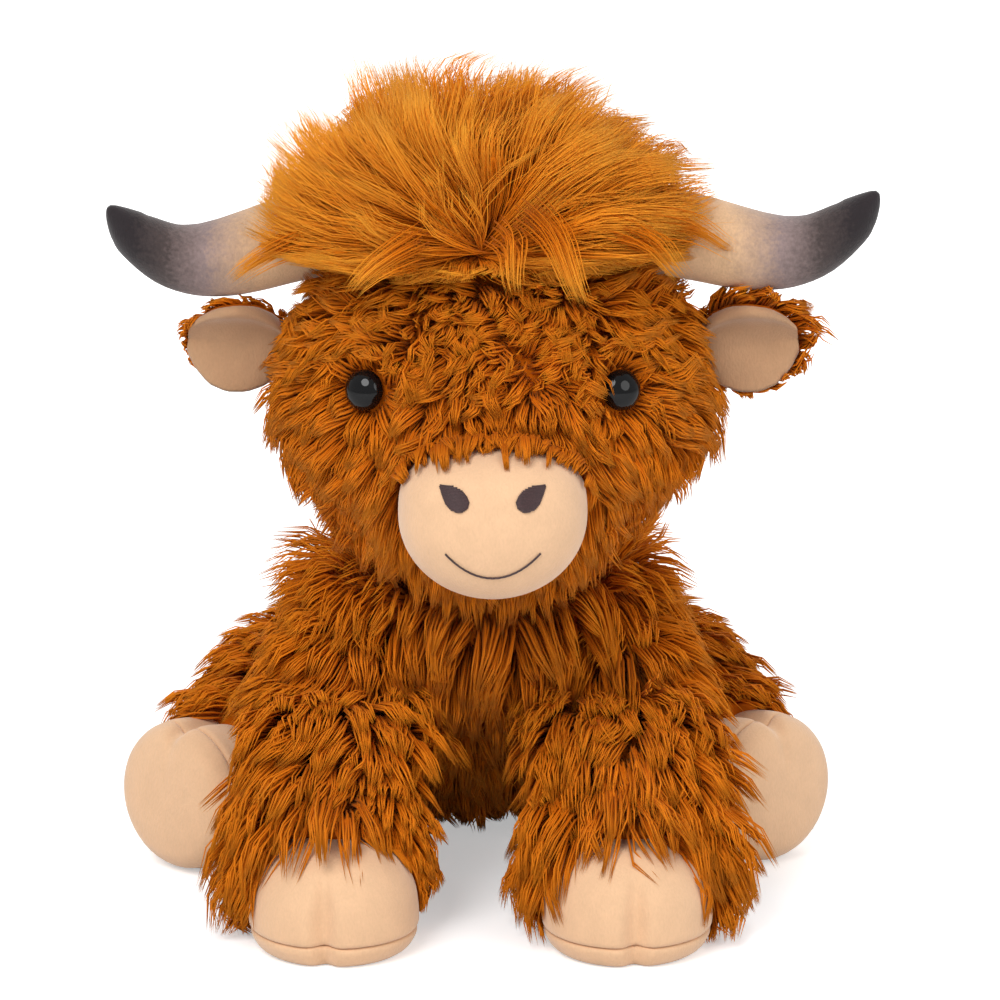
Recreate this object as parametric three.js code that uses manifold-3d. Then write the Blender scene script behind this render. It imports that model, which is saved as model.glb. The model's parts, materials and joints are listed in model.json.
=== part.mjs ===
import * as THREE from 'three';
import { mergeVertices } from 'three/addons/utils/BufferGeometryUtils.js';
import Module from 'manifold-3d';

// A seated, long-haired toy cow, sewn and stuffed. Millimetres, +Z up, the cow faces -Y and sits on Z = 0.
// Left is -X and right is +X. Each fur piece is modelled to the tips of its pile.

// Fabrics and seams
const PILE = 12; // free length of the body pile
const BACKING = 2; // knitted backing that carries the pile
const FUR_WALL = PILE + BACKING;
const SHORT_PILE = 2.2; // whole thickness of the short-pile fabric of muzzle, hooves, ears and horns
const SEAM_GAP = 0.3; // between pieces that are sewn or pressed together
const SWING_GAP = 1; // between a limb and the torso that it moves in
const LEG_SLACK = 0.9; // between a leg's fur and its filling
const FILLING_GAP = 5; // between a limb and the torso's filling, which has coarser facets

// Torso
const SEAT_Y = 62;
const TORSO_HEIGHT = 124;
const TORSO_HALF_WIDTH = 72;
const TORSO_HALF_DEPTH = 68;
const TORSO_LEAN = 94; // how far the top of the torso lies in front of the seat's middle

// Head and neck
const HEAD_X = 3;
const NECK_SINK = 16; // how far the head's bottom lies below the torso's top
const HEAD_BOTTOM = TORSO_HEIGHT - NECK_SINK;
const HEAD_HEIGHT = 144;
const HEAD_HALF_WIDTH = 80;
const HEAD_HALF_DEPTH = 61;
const NECK_Y = -42;
const FACE_SHIFT = 10; // how far the middle of the skull lies in front of the neck
const NECK_HOLE_RADIUS = 16;

// Muzzle, as a panel that bulges out of the face
const MUZZLE_HALF_WIDTH = 31.5;
const MUZZLE_UPPER = 24; // from its middle to the top edge
const MUZZLE_LOWER = 28; // from its middle to the chin
const MUZZLE_MIDDLE = 0.326 * HEAD_HEIGHT; // height of its middle over the head's bottom
const MUZZLE_REACH = 26; // how far its dome stands out of the face pile
const MUZZLE_BROW_POWER = 2.7; // squareness of its outline over its middle, where 2 is round
const MUZZLE_CHIN_POWER = 2;
const MUZZLE_DOME_POWER = 2.5;
const NOSTRIL_SPREAD = 12.2;
const NOSTRIL_RISE = 11.5;
const NOSTRIL_LENGTH = 10.5;
const THREAD = 1; // thickness of embroidered thread
const SMILE_HALF_WIDTH = 15.5;
const SMILE_DROP = 8.2;
const SMILE_HEIGHT = -7.5;

// Safety eyes
const EYE_RADIUS = 7;
const EYE_DOME = 5;
const EYE_RIM = 0.8; // upright edge below the dome
const EYE_RISE = 0.583 * HEAD_HEIGHT; // over the head's bottom
const EYE_ANGLE = 51; // degrees between the cow's right-left axis and the eye
const SHANK_RADIUS = 2.2;
const SHANK_LENGTH = 9;
const WASHER_RADIUS = 7.5;
const WASHER_THICKNESS = 1.6;

// Horns
const HORN_RADIUS = 15;
const HORN_ROOT_RISE = 0.903 * HEAD_HEIGHT; // over the head's bottom
const HORN_ROOT_X = 40;
const HORN_REACH = 90.5;
const HORN_LIFT = 8; // of the control point near the head, over the root
const LEFT_HORN_SAG = 30; // of the control point near the tip, under the root
const RIGHT_HORN_SAG = 27;
const LEFT_HORN_TIP_RISE = 11.5;
const RIGHT_HORN_TIP_RISE = 16.5;
const HORN_FORWARD = 10;
const HORN_TIP_SHARE = 0.31; // tip radius as a share of the root's
const HORN_TAPER = [2.6, 0.55]; // how late and how fast the radius falls towards the tip
const HORN_TIP_START = 0.9; // share of the length where the tip begins to round off

// Ears
const EAR_LENGTH = 33;
const EAR_HALF_WIDTH = 16.5;
const EAR_RISE = 0.62 * HEAD_HEIGHT; // over the head's bottom
const EAR_CUP = 6;
const EAR_FUR = 9; // thickness of backing and pile behind the lining
const EAR_EDGE_THINNING = 0.55; // share of the thickness that is lost towards the rim
const EAR_DROOP = -8; // degrees, below zero where the tip points up
const EAR_ROOT_DEPTH = 5; // below the tips of the head's pile
const EAR_ROLL_RADIUS = 6; // rolled root seam, round about the ear's own axis
const EAR_ROLL_SEGMENTS = 12;
const EAR_SLOT_RADIUS = 11.5; // the roll turns against the slot's bottom, and the ear folds between its sides
const EAR_SLOT_SEGMENTS = 16;
const EAR_LINING_START = 0.22; // share of the length

// Forelock
const PATCH_RADIUS = 34;
const HAIR_HALF_WIDTH = 76;
const HAIR_HALF_DEPTH = 59;
const HAIR_OVER_HEAD = 39;
const HAIR_TOP = HEAD_BOTTOM + HEAD_HEIGHT + HAIR_OVER_HEAD;
const HAIR_SPREAD = 66; // height of the hair from its lower edge to its top
const HAIR_X = -1;

// Front legs
const SHOULDER_X = 47;
const SHOULDER_Y = -36;
const SHOULDER_Z = 77;
const SHOULDER_RADIUS = 35;
const FRONT_ANKLE_Z = 30;
const FRONT_STRIDE = 45; // how far the ankle lies in front of the shoulder
const FRONT_LEG_HALF_WIDTH = 38;
const FUR_SKIRT = 4; // the pile hangs over the hoof and swells by this much
const FUR_FLOOR_GAP = 4;
const FRONT_LIFT = 30; // degrees that a front leg lifts

// Hind legs
const HIP_X = 53;
const HIP_Y = 48;
const HIP_Z = 46;
const HIP_RADIUS = 43;
const ANKLE_RADIUS = 30;
const THIGH_BOW = 5; // how far the thigh bows outwards
const THIGH_RISE = 3; // how much higher the middle of the thigh lies than the line from hip to ankle
const HIND_ANKLE_INSET = 17; // of the ankle's middle from the sole's, towards the seat
const HIND_ANKLE_BACK = 17;
const HIND_SPLAY = 25; // degrees that a hind leg opens outwards

// Feet, which the cow doesn't hold quite alike: how far out from the seat's middle line, and how far forward
const LEFT_FRONT_OUT = 51.5;
const RIGHT_FRONT_OUT = 49;
const LEFT_HIND_OUT = 114;
const RIGHT_HIND_OUT = 108;
const LEFT_HIND_Y = -27;
const RIGHT_HIND_Y = -18;
const LEFT_HOOF_TURN = -6; // degrees
const RIGHT_HOOF_TURN = 5;

// Share of each leg's path where the filling of the ankle ends
const FRONT_SHIN = 0.66;
const HIND_SHIN = 0.42;

// Hooves
const HOOF_HALF_WIDTH = 29;
const HOOF_HALF_LENGTH = 27;
const HOOF_HEIGHT = 38;
const HEEL_COVER = 4; // how far a front hoof's heel reaches back past its ankle
const SOLE_SEAM = 8;
const ANKLE_OPENING = 12; // radius of the filling between hoof and leg
const CLEFT_DEPTH = 3.6;
const CLEFT_ANGLE = 0.16; // radians
const TOE_CROWDING = 0.62; // how much closer the facets lie at the cleft than at the heel
const HOOF_HEART = 0.45; // share of the height where the ankle's filling starts

// Tail
const TAIL_ROOT_Z = 50;
const TAIL_RADIUS = 7;
const TAIL_LENGTH = 34;
const TASSEL_RADIUS = 11;
const TASSEL_LENGTH = 30;
const TAIL_SWING = 35; // degrees to each side

// Seat
const POUCH_HALF_WIDTH = 40;
const POUCH_HALF_DEPTH = 32;
const POUCH_HEIGHT = 20;
const POUCH_Y = SEAT_Y - 4;
const pouchShares = [[0, 0.8], [0.35, 1], [0.75, 0.85], [1, 0.3]]; // height, size

// Facets round and along a form: [segments, steps]
const HEAD_FACETS = [20, 10];
const TORSO_FACETS = [20, 8];
const LEG_FACETS = [12, 4];
const MUZZLE_FACETS = [18, 7];
const HORN_FACETS = [12, 7];
const HAIR_FACETS = [18, 6];
const EYE_SEGMENTS = 12;
const SKULL_FACETS = [12, 6]; // inside of head and torso
const CORE_FACETS = [10, 4]; // inside of horns and muzzle
const MARROW_FACETS = [8, 3]; // inside of legs
const HOLLOW_FACETS = [10, 3]; // room for the limbs in the torso's filling
const HOOF_SEGMENTS = 16;
const HOOF_CORE_SEGMENTS = 8;

const sides = [
  {
    name: 'left', sign: -1, hindFoot: [-LEFT_HIND_OUT, LEFT_HIND_Y], hoofTurn: LEFT_HOOF_TURN,
    frontX: LEFT_FRONT_OUT, hornSag: LEFT_HORN_SAG, hornTipRise: LEFT_HORN_TIP_RISE,
  },
  {
    name: 'right', sign: 1, hindFoot: [RIGHT_HIND_OUT, RIGHT_HIND_Y], hoofTurn: RIGHT_HOOF_TURN,
    frontX: RIGHT_FRONT_OUT, hornSag: RIGHT_HORN_SAG, hornTipRise: RIGHT_HORN_TIP_RISE,
  },
];

const CRUMB = 12; // cubic millimetres, the most that a flake at the rim of a cut can hold

const wasm = await Module();
wasm.setup();

const X = new THREE.Vector3(1, 0, 0);
const Y = new THREE.Vector3(0, 1, 0);
const Z = new THREE.Vector3(0, 0, 1);
const radians = THREE.MathUtils.degToRad;

function solidOf(geometry) {
  const bare = geometry.index ? geometry.toNonIndexed() : geometry.clone();
  for (const name of Object.keys(bare.attributes)) if (name !== 'position') bare.deleteAttribute(name);
  const merged = mergeVertices(bare, 1e-4);
  const index = Array.from(merged.index.array);
  const whole = [];
  for (let i = 0; i < index.length; i += 3) {
    const [a, b, c] = index.slice(i, i + 3);
    if (a !== b && b !== c && a !== c) whole.push(a, b, c);
  }
  const mesh = new wasm.Mesh({
    numProp: 3,
    vertProperties: new Float32Array(merged.attributes.position.array),
    triVerts: new Uint32Array(whole),
  });
  return new wasm.Manifold(mesh);
}

function geometryOf(solid) {
  const { vertProperties, triVerts, numProp } = solid.getMesh();
  const geometry = new THREE.BufferGeometry();
  const count = vertProperties.length / numProp;
  const position = new Float32Array(count * 3);
  for (let i = 0; i < count; i++) {
    for (let k = 0; k < 3; k++) position[3 * i + k] = vertProperties[numProp * i + k];
  }
  geometry.setAttribute('position', new THREE.BufferAttribute(position, 3));
  geometry.setIndex(Array.from(triVerts));
  return geometry;
}

/** The one body of a solid, without the loose crumbs that a cut leaves at its rim. */
function mainBody(solid) {
  const bodies = solid.decompose().sort((one, other) => other.volume() - one.volume());
  if (bodies.length > 1 && bodies[1].volume() > CRUMB) throw new Error('a piece has come apart');
  return bodies[0];
}

const cut = (solid, ...others) => others.reduce((left, other) => left.subtract(other), solid);
const join = (solid, ...others) => others.reduce((left, other) => left.add(other), solid);

/** Skin over closed rings of equal length, with a fan over each end. */
function skinOf(rings) {
  const n = rings[0].length;
  const points = rings.flat();
  const faces = [];
  for (let i = 0; i + 1 < rings.length; i++) {
    for (let j = 0; j < n; j++) {
      const a = i * n + j;
      const b = i * n + ((j + 1) % n);
      faces.push(a, b, b + n, a, b + n, a + n);
    }
  }
  const middle = (ring) => ring.reduce((sum, p) => sum.add(p), new THREE.Vector3()).divideScalar(n);
  const first = points.push(middle(rings[0])) - 1;
  const last = points.push(middle(rings.at(-1))) - 1;
  const top = (rings.length - 1) * n;
  for (let j = 0; j < n; j++) {
    faces.push(first, (j + 1) % n, j);
    faces.push(last, top + j, top + ((j + 1) % n));
  }
  const geometry = new THREE.BufferGeometry().setFromPoints(points);
  geometry.setIndex(faces);
  return geometry;
}

/**
 * A soft form through stations of centre x, y, z and the two half sizes of its section.
 * Level sections stay flat, others turn with the path. An inset moves the whole skin inwards.
 */
class SoftForm {
  constructor(stations, { level = false, side = X, outline = null } = {}) {
    const curve = (points) => new THREE.CatmullRomCurve3(points, false, 'catmullrom', 0.5);
    this.centres = curve(stations.map(([x, y, z]) => new THREE.Vector3(x, y, z)));
    this.halves = curve(stations.map(([, , , a, b]) => new THREE.Vector3(a, b, 0)));
    this.level = level;
    this.side = side;
    this.outline = outline ?? ((angle) => [Math.cos(angle), Math.sin(angle)]);
  }

  ring(t, inset, segments) {
    const path = this.centres.getTangent(t);
    const along = this.level ? Z : path;
    const side = this.side.clone().addScaledVector(along, -this.side.dot(along)).normalize();
    const other = along.clone().cross(side);
    const centre = this.centres.getPoint(t).addScaledVector(path, inset * (1 - 2 * t));
    const half = this.halves.getPoint(t);
    const a = Math.max(half.x - inset, 0.6);
    const b = Math.max(half.y - inset, 0.6);
    return Array.from({ length: segments }, (_, j) => {
      const [u, v] = this.outline((2 * Math.PI * j) / segments);
      return centre.clone().addScaledVector(side, a * u).addScaledVector(other, b * v);
    });
  }

  solid(inset, [segments, steps]) {
    const rings = Array.from({ length: steps + 1 }, (_, i) => this.ring(i / steps, inset, segments));
    return solidOf(skinOf(rings));
  }

  /** Station of a level form at a height: centre and half sizes. */
  at(height) {
    let low = 0;
    let high = 1;
    for (let i = 0; i < 40; i++) {
      const t = (low + high) / 2;
      if (this.centres.getPoint(t).z < height) low = t;
      else high = t;
    }
    return { centre: this.centres.getPoint(low), half: this.halves.getPoint(low) };
  }

  /** Point of a level form's skin at an angle from +X and a height, with its outward normal. */
  point(angle, height, inset) {
    const rim = (h, a) => {
      const { centre, half } = this.at(h);
      return centre.clone().add(
        new THREE.Vector3((half.x - inset) * Math.cos(a), (half.y - inset) * Math.sin(a), 0),
      );
    };
    const point = rim(height, angle);
    const across = rim(height, angle + 0.02).sub(rim(height, angle - 0.02));
    const up = rim(height + 1, angle).sub(rim(height - 1, angle));
    return { point, normal: across.cross(up).normalize() };
  }
}

/** A ball with its poles on an axis, so that its facets turn within those of a socket about that axis. */
const ball = (x, y, z, radius, segments, axis) => {
  const geometry = new THREE.SphereGeometry(radius, segments, Math.round(segments / 2));
  geometry.applyQuaternion(new THREE.Quaternion().setFromUnitVectors(Y, axis));
  geometry.translate(x, y, z);
  return solidOf(geometry);
};

const post = (x, y, low, high, radius, segments = 18) => {
  const geometry = new THREE.CylinderGeometry(radius, radius, high - low, segments);
  geometry.rotateX(Math.PI / 2);
  geometry.translate(x, y, (low + high) / 2);
  return solidOf(geometry);
};

/** The turned shape of a profile of [radius, height], with its axis moved to a point and a direction. */
function turned(profile, segments, point, direction) {
  const geometry = new THREE.LatheGeometry(profile.map(([r, h]) => new THREE.Vector2(r, h)), segments);
  geometry.applyQuaternion(new THREE.Quaternion().setFromUnitVectors(Y, direction));
  geometry.translate(point.x, point.y, point.z);
  return solidOf(geometry);
}

/** All the room that a solid takes while it turns by the given degrees about an axis through a pivot. */
function swept(solid, pivot, axis, degrees) {
  const copies = degrees.map((degree) => {
    const turn = new THREE.Matrix4().makeTranslation(...pivot)
      .multiply(new THREE.Matrix4().makeRotationAxis(axis, radians(degree)))
      .multiply(new THREE.Matrix4().makeTranslation(-pivot[0], -pivot[1], -pivot[2]));
    return solid.transform(turn.elements);
  });
  return join(...copies);
}

// Torso: a pear that leans forward from its flat seat
const torsoShares = [
  // height, lean, half width, half depth
  [0, 0, 0.6, 0.46],
  [0.03, 0.01, 0.8, 0.64],
  [0.16, 0.1, 0.96, 0.86],
  [0.35, 0.25, 1, 0.96],
  [0.52, 0.44, 0.98, 1],
  [0.68, 0.65, 0.97, 1],
  [0.81, 0.82, 0.96, 0.9],
  [0.91, 0.93, 0.95, 0.78],
  [0.975, 0.98, 0.91, 0.66],
  [1, 1, 0.82, 0.52],
];
const torsoForm = new SoftForm(
  torsoShares.map(([h, lean, a, b]) => [
    0, SEAT_Y - lean * TORSO_LEAN, h * TORSO_HEIGHT, a * TORSO_HALF_WIDTH, b * TORSO_HALF_DEPTH,
  ]),
  { level: true },
);

// Head: round at the neck, wide at the cheeks, domed at the top
const headShares = [
  // height, shift to the face, half width, half depth
  [0, 0, 0.25, 0.33],
  [0.042, 0, 0.44, 0.577],
  [0.104, 0.05, 0.61, 0.76],
  [0.188, 0.3, 0.76, 0.88],
  [0.281, 0.7, 0.87, 0.95],
  [0.375, 1, 0.955, 0.99],
  [0.469, 1, 1, 1],
  [0.583, 0.9, 0.99, 0.99],
  [0.7, 0.8, 0.94, 0.95],
  [0.812, 0.7, 0.84, 0.86],
  [0.903, 0.6, 0.69, 0.71],
  [0.972, 0.55, 0.42, 0.44],
  [1, 0.55, 0.13, 0.14],
];
const headForm = new SoftForm(
  headShares.map(([h, shift, a, b]) => [
    HEAD_X, NECK_Y - shift * FACE_SHIFT, HEAD_BOTTOM + h * HEAD_HEIGHT,
    a * HEAD_HALF_WIDTH, b * HEAD_HALF_DEPTH,
  ]),
  { level: true },
);
const skullY = NECK_Y - FACE_SHIFT;

// Muzzle: a shield outline, flat over the nostrils and pointed at the chin, with a domed front
const muzzleZ = HEAD_BOTTOM + MUZZLE_MIDDLE;
const facePileY = skullY - HEAD_HALF_DEPTH;
const muzzleRootY = facePileY + FUR_WALL + 8;
const muzzleShoulderY = facePileY + 3;
const muzzleTipY = facePileY - MUZZLE_REACH;

/** Half height and squareness of the muzzle's outline above or below its middle. */
const muzzleHalf = (z) => (z > 0 ? [MUZZLE_UPPER, MUZZLE_BROW_POWER] : [MUZZLE_LOWER, MUZZLE_CHIN_POWER]);

function muzzleOutline(angle) {
  const c = Math.cos(angle);
  const s = Math.sin(angle);
  const [tall, power] = muzzleHalf(s);
  const reach = (Math.abs(c) ** power + Math.abs(s) ** power) ** (-1 / power);
  return [reach * c, reach * s * tall / MUZZLE_LOWER];
}

/** Share of the muzzle's outline that is left at a share of the dome's depth. */
const domeShare = (depth) => (1 - depth ** MUZZLE_DOME_POWER) ** (1 / MUZZLE_DOME_POWER);

const muzzleStations = [0, 0.5].map((share) => [muzzleRootY + share * (muzzleShoulderY - muzzleRootY), 1]);
for (const depth of [0, 0.3, 0.55, 0.75, 0.89, 0.965, 0.995]) {
  muzzleStations.push([muzzleShoulderY + depth * (muzzleTipY - muzzleShoulderY), domeShare(depth)]);
}
const muzzleForm = new SoftForm(
  muzzleStations.map(([y, share]) => [HEAD_X, y, muzzleZ, MUZZLE_HALF_WIDTH * share, MUZZLE_LOWER * share]),
  { outline: muzzleOutline },
);

/** Point of the muzzle's front at x and z from its middle, lifted off the fabric. */
function muzzleFront(x, z, lift) {
  const [tall, power] = muzzleHalf(z);
  const share = (Math.abs(x / MUZZLE_HALF_WIDTH) ** power + Math.abs(z / tall) ** power) ** (1 / power);
  const y = muzzleShoulderY + domeShare(share) * (muzzleTipY - muzzleShoulderY) - lift;
  return new THREE.Vector3(HEAD_X + x, y, muzzleZ + z);
}

function muzzlePieces() {
  const skull = headForm.solid(FUR_WALL, SKULL_FACETS);
  const cover = cut(muzzleForm.solid(0, MUZZLE_FACETS), muzzleForm.solid(SHORT_PILE, CORE_FACETS), skull);
  const filling = cut(muzzleForm.solid(SHORT_PILE + SEAM_GAP, CORE_FACETS), skull);
  return { muzzle_cover: mainBody(cover), muzzle_stuffing: mainBody(filling) };
}

/** A satin-stitched drop, laid on the muzzle with its point up and outwards. */
function nostril(sign) {
  const half = NOSTRIL_LENGTH / 2;
  const shape = new THREE.Shape();
  shape.moveTo(sign * half, half * 0.62);
  shape.quadraticCurveTo(sign * half * 0.1, half * 0.75, -sign * half * 0.72, half * 0.1);
  shape.quadraticCurveTo(-sign * half, -half * 0.75, -sign * half * 0.15, -half * 0.85);
  shape.quadraticCurveTo(sign * half * 0.75, -half * 0.75, sign * half, half * 0.62);
  const plate = new THREE.ExtrudeGeometry(shape, { depth: THREAD, bevelEnabled: false, curveSegments: 5 });
  const spread = sign * NOSTRIL_SPREAD;
  const here = muzzleFront(spread, NOSTRIL_RISE, 0);
  const across = muzzleFront(spread + 1, NOSTRIL_RISE, 0).sub(muzzleFront(spread - 1, NOSTRIL_RISE, 0));
  across.normalize();
  const rise = muzzleFront(spread, NOSTRIL_RISE + 1, 0).sub(muzzleFront(spread, NOSTRIL_RISE - 1, 0));
  const out = across.clone().cross(rise).normalize();
  plate.applyMatrix4(new THREE.Matrix4().makeBasis(across, out.clone().cross(across), out));
  const start = here.addScaledVector(out, SEAM_GAP);
  plate.translate(start.x, start.y, start.z);
  return cut(solidOf(plate), muzzleForm.solid(-SEAM_GAP / 2, MUZZLE_FACETS));
}

function smile() {
  const lift = 2 * SEAM_GAP + THREAD / 2;
  const points = Array.from({ length: 7 }, (_, i) => {
    const share = -1 + i / 3;
    return muzzleFront(share * SMILE_HALF_WIDTH, SMILE_HEIGHT - SMILE_DROP * (1 - share * share), lift);
  });
  const section = new THREE.Shape();
  section.absarc(0, 0, THREAD / 2, 0, 2 * Math.PI);
  const path = new THREE.CatmullRomCurve3(points);
  return solidOf(new THREE.ExtrudeGeometry(section, { extrudePath: path, steps: 9, curveSegments: 3 }));
}

// Eyes: a dome on a shank through the backing, held by a washer in the filling
function eyePlace(sign) {
  const angle = -Math.PI / 2 + sign * radians(90 - EYE_ANGLE);
  return headForm.point(angle, HEAD_BOTTOM + EYE_RISE, PILE);
}

function eye({ point, normal }) {
  const rise = [0, 0.25, 0.5, 0.75].map((share) => share * (Math.PI / 2));
  const dome = rise.map((a) => [EYE_RADIUS * Math.cos(a), SEAM_GAP + EYE_RIM + EYE_DOME * Math.sin(a)]);
  const profile = [
    [0, -SHANK_LENGTH], [SHANK_RADIUS, -SHANK_LENGTH], [SHANK_RADIUS, SEAM_GAP], [EYE_RADIUS, SEAM_GAP],
    ...dome, [0, SEAM_GAP + EYE_RIM + EYE_DOME],
  ];
  return turned(profile, EYE_SEGMENTS, point, normal);
}

function washer({ point, normal }) {
  const bore = SHANK_RADIUS + SEAM_GAP;
  const near = -BACKING - 2 * SEAM_GAP;
  const far = near - WASHER_THICKNESS;
  const profile = [[bore, far], [WASHER_RADIUS, far], [WASHER_RADIUS, near], [bore, near], [bore, far]];
  return turned(profile, EYE_SEGMENTS, point, normal);
}

/** A round hole along the eye's axis, with a clearance, between two levels over the backing. */
const eyeBore = ({ point, normal }, radius, low, high, flare = 0) => turned(
  [[0, low], [radius + SEAM_GAP, low], [radius + SEAM_GAP + flare, high], [0, high]],
  EYE_SEGMENTS, point, normal,
);
const eyeHollow = (place) => eyeBore(place, EYE_RADIUS, 0, 1.5 * PILE, 3);
const shankHole = (place) => eyeBore(place, SHANK_RADIUS, -2 * SHANK_LENGTH, 1);
const washerPocket = (place) => eyeBore(place, WASHER_RADIUS, -SHANK_LENGTH - 1, -BACKING - SEAM_GAP);

// Horns: they leave the head level, sag and curl up to a blunt tip
function hornForm({ sign, hornSag, hornTipRise }) {
  const root = new THREE.Vector3(HEAD_X + sign * HORN_ROOT_X, skullY + 2, HEAD_BOTTOM + HORN_ROOT_RISE);
  const tip = root.clone().add(new THREE.Vector3(sign * HORN_REACH, -HORN_FORWARD, hornTipRise));
  const high = root.clone().add(new THREE.Vector3(sign * HORN_REACH * 0.4, 0, HORN_LIFT));
  const low = root.clone().add(new THREE.Vector3(sign * HORN_REACH * 0.67, 0, -hornSag));
  const path = new THREE.CubicBezierCurve3(root, high, low, tip);
  const [late, fast] = HORN_TAPER;
  const loss = 1 - HORN_TIP_SHARE ** (1 / fast);
  const stations = [0, 0.17, 0.34, 0.51, 0.67, 0.8, HORN_TIP_START, 0.965, 0.995].map((t) => {
    const p = path.getPoint(t);
    const tip = Math.max(0, t - HORN_TIP_START) / (1 - HORN_TIP_START);
    const radius = HORN_RADIUS * (1 - loss * t ** late) ** fast * Math.sqrt(1 - tip * tip);
    return [p.x, p.y, p.z, radius, radius];
  });
  return new SoftForm(stations, { side: Y });
}

// Ears: two cupped leaves, the fur behind and the lining in front
function earFrame(sign) {
  const angle = sign > 0 ? 0.05 : Math.PI - 0.05;
  const { point } = headForm.point(angle, HEAD_BOTTOM + EAR_RISE, EAR_ROOT_DEPTH);
  const droop = radians(EAR_DROOP);
  return {
    root: point,
    along: new THREE.Vector3(sign * Math.cos(droop), 0, -Math.sin(droop)),
    across: new THREE.Vector3(sign * Math.sin(droop), 0, Math.cos(droop)),
    out: new THREE.Vector3(0, -1, 0),
  };
}

// Share of the length from the root, share of the width
const earWidths = [
  [0, 0.62], [0.14, 0.84], [EAR_LINING_START, 0.92], [0.3, 0.98], [0.5, 1], [0.7, 0.88], [0.86, 0.62],
  [0.96, 0.34], [1, 0.12],
];

/** A cupped leaf between a back and a front depth. Its outer face thins towards the rim. */
function earLeaf(sign, back, front, start) {
  const { root, along, across, out } = earFrame(sign);
  const rings = earWidths.filter(([share]) => share >= start).map(([share, width]) => {
    const centre = root.clone().addScaledVector(along, share * EAR_LENGTH);
    const cup = EAR_CUP * Math.min(1, 2 * share, 3 - 3 * share);
    const place = (u, depth) => centre.clone().addScaledVector(across, EAR_HALF_WIDTH * width * u)
      .addScaledVector(out, cup * u * u + depth);
    const edge = (u) => 1 - EAR_EDGE_THINNING * u * u;
    const spread = [-1, -0.55, 0, 0.55, 1];
    const ring = [
      ...spread.map((u) => place(u, front > SHORT_PILE ? front * edge(u) : front)),
      ...spread.reverse().map((u) => place(u, back < -SHORT_PILE ? back * edge(u) : back)),
    ];
    return sign < 0 ? ring : ring.reverse();
  });
  return solidOf(skinOf(rings));
}

const earPivot = (sign) => {
  const { root } = earFrame(sign);
  return [root.x + sign * 2, root.y + (EAR_FUR - SHORT_PILE) / 2, root.z];
};

/** Upright slot in the side of the head, whose bottom lies close round the rolled root of the ear. */
function earSlot(sign) {
  const [x, y, z] = earPivot(sign);
  const reach = EAR_HALF_WIDTH + 3 * SWING_GAP;
  const out = EAR_SLOT_RADIUS * Math.cos(Math.PI / EAR_SLOT_SEGMENTS) - EAR_ROLL_RADIUS - SEAM_GAP;
  return post(x + sign * out, y, z - reach, z + reach, EAR_SLOT_RADIUS, EAR_SLOT_SEGMENTS);
}

function earPieces(sign) {
  const [x, y, z] = earPivot(sign);
  const reach = EAR_HALF_WIDTH * earWidths[0][1];
  const roll = post(x, y, z - reach, z + reach, EAR_ROLL_RADIUS, EAR_ROLL_SEGMENTS);
  return {
    back: mainBody(join(earLeaf(sign, -EAR_FUR, -SEAM_GAP, 0), roll)),
    lining: earLeaf(sign, 2 * SEAM_GAP, SHORT_PILE + 2 * SEAM_GAP, EAR_LINING_START),
  };
}

// Forelock: long hair on a round patch let into the top of the head
const hairShares = [
  // height, half width, half depth
  [0, 0.7, 0.8], [0.09, 0.86, 0.92], [0.22, 0.98, 1], [0.38, 1, 1], [0.55, 0.93, 0.95], [0.72, 0.78, 0.8],
  [0.86, 0.56, 0.58], [0.96, 0.3, 0.32], [1, 0.1, 0.12],
];
const hairForm = new SoftForm(
  hairShares.map(([h, a, b]) => [
    HAIR_X, skullY, HAIR_TOP - (1 - h) * HAIR_SPREAD, a * HAIR_HALF_WIDTH, b * HAIR_HALF_DEPTH,
  ]),
  { level: true },
);

const headTop = HEAD_BOTTOM + HEAD_HEIGHT;
const patchWell = (grow) => post(HEAD_X, skullY, headTop - 3 * FUR_WALL, headTop + PILE, PATCH_RADIUS + grow);

function forelockPieces() {
  const backing = cut(headForm.solid(PILE, SKULL_FACETS), headForm.solid(FUR_WALL, SKULL_FACETS));
  const upper = backing.intersect(patchWell(-SEAM_GAP));
  const crown = cut(headForm.solid(-SEAM_GAP, HEAD_FACETS), patchWell(-SEAM_GAP));
  const hair = cut(
    hairForm.solid(0, HAIR_FACETS), crown, headForm.solid(PILE - SEAM_GAP, SKULL_FACETS),
    ...sides.map((side) => hornForm(side).solid(-SEAM_GAP, HORN_FACETS)),
  );
  return { forelock_patch: mainBody(upper), forelock_hair: mainBody(hair) };
}

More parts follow.
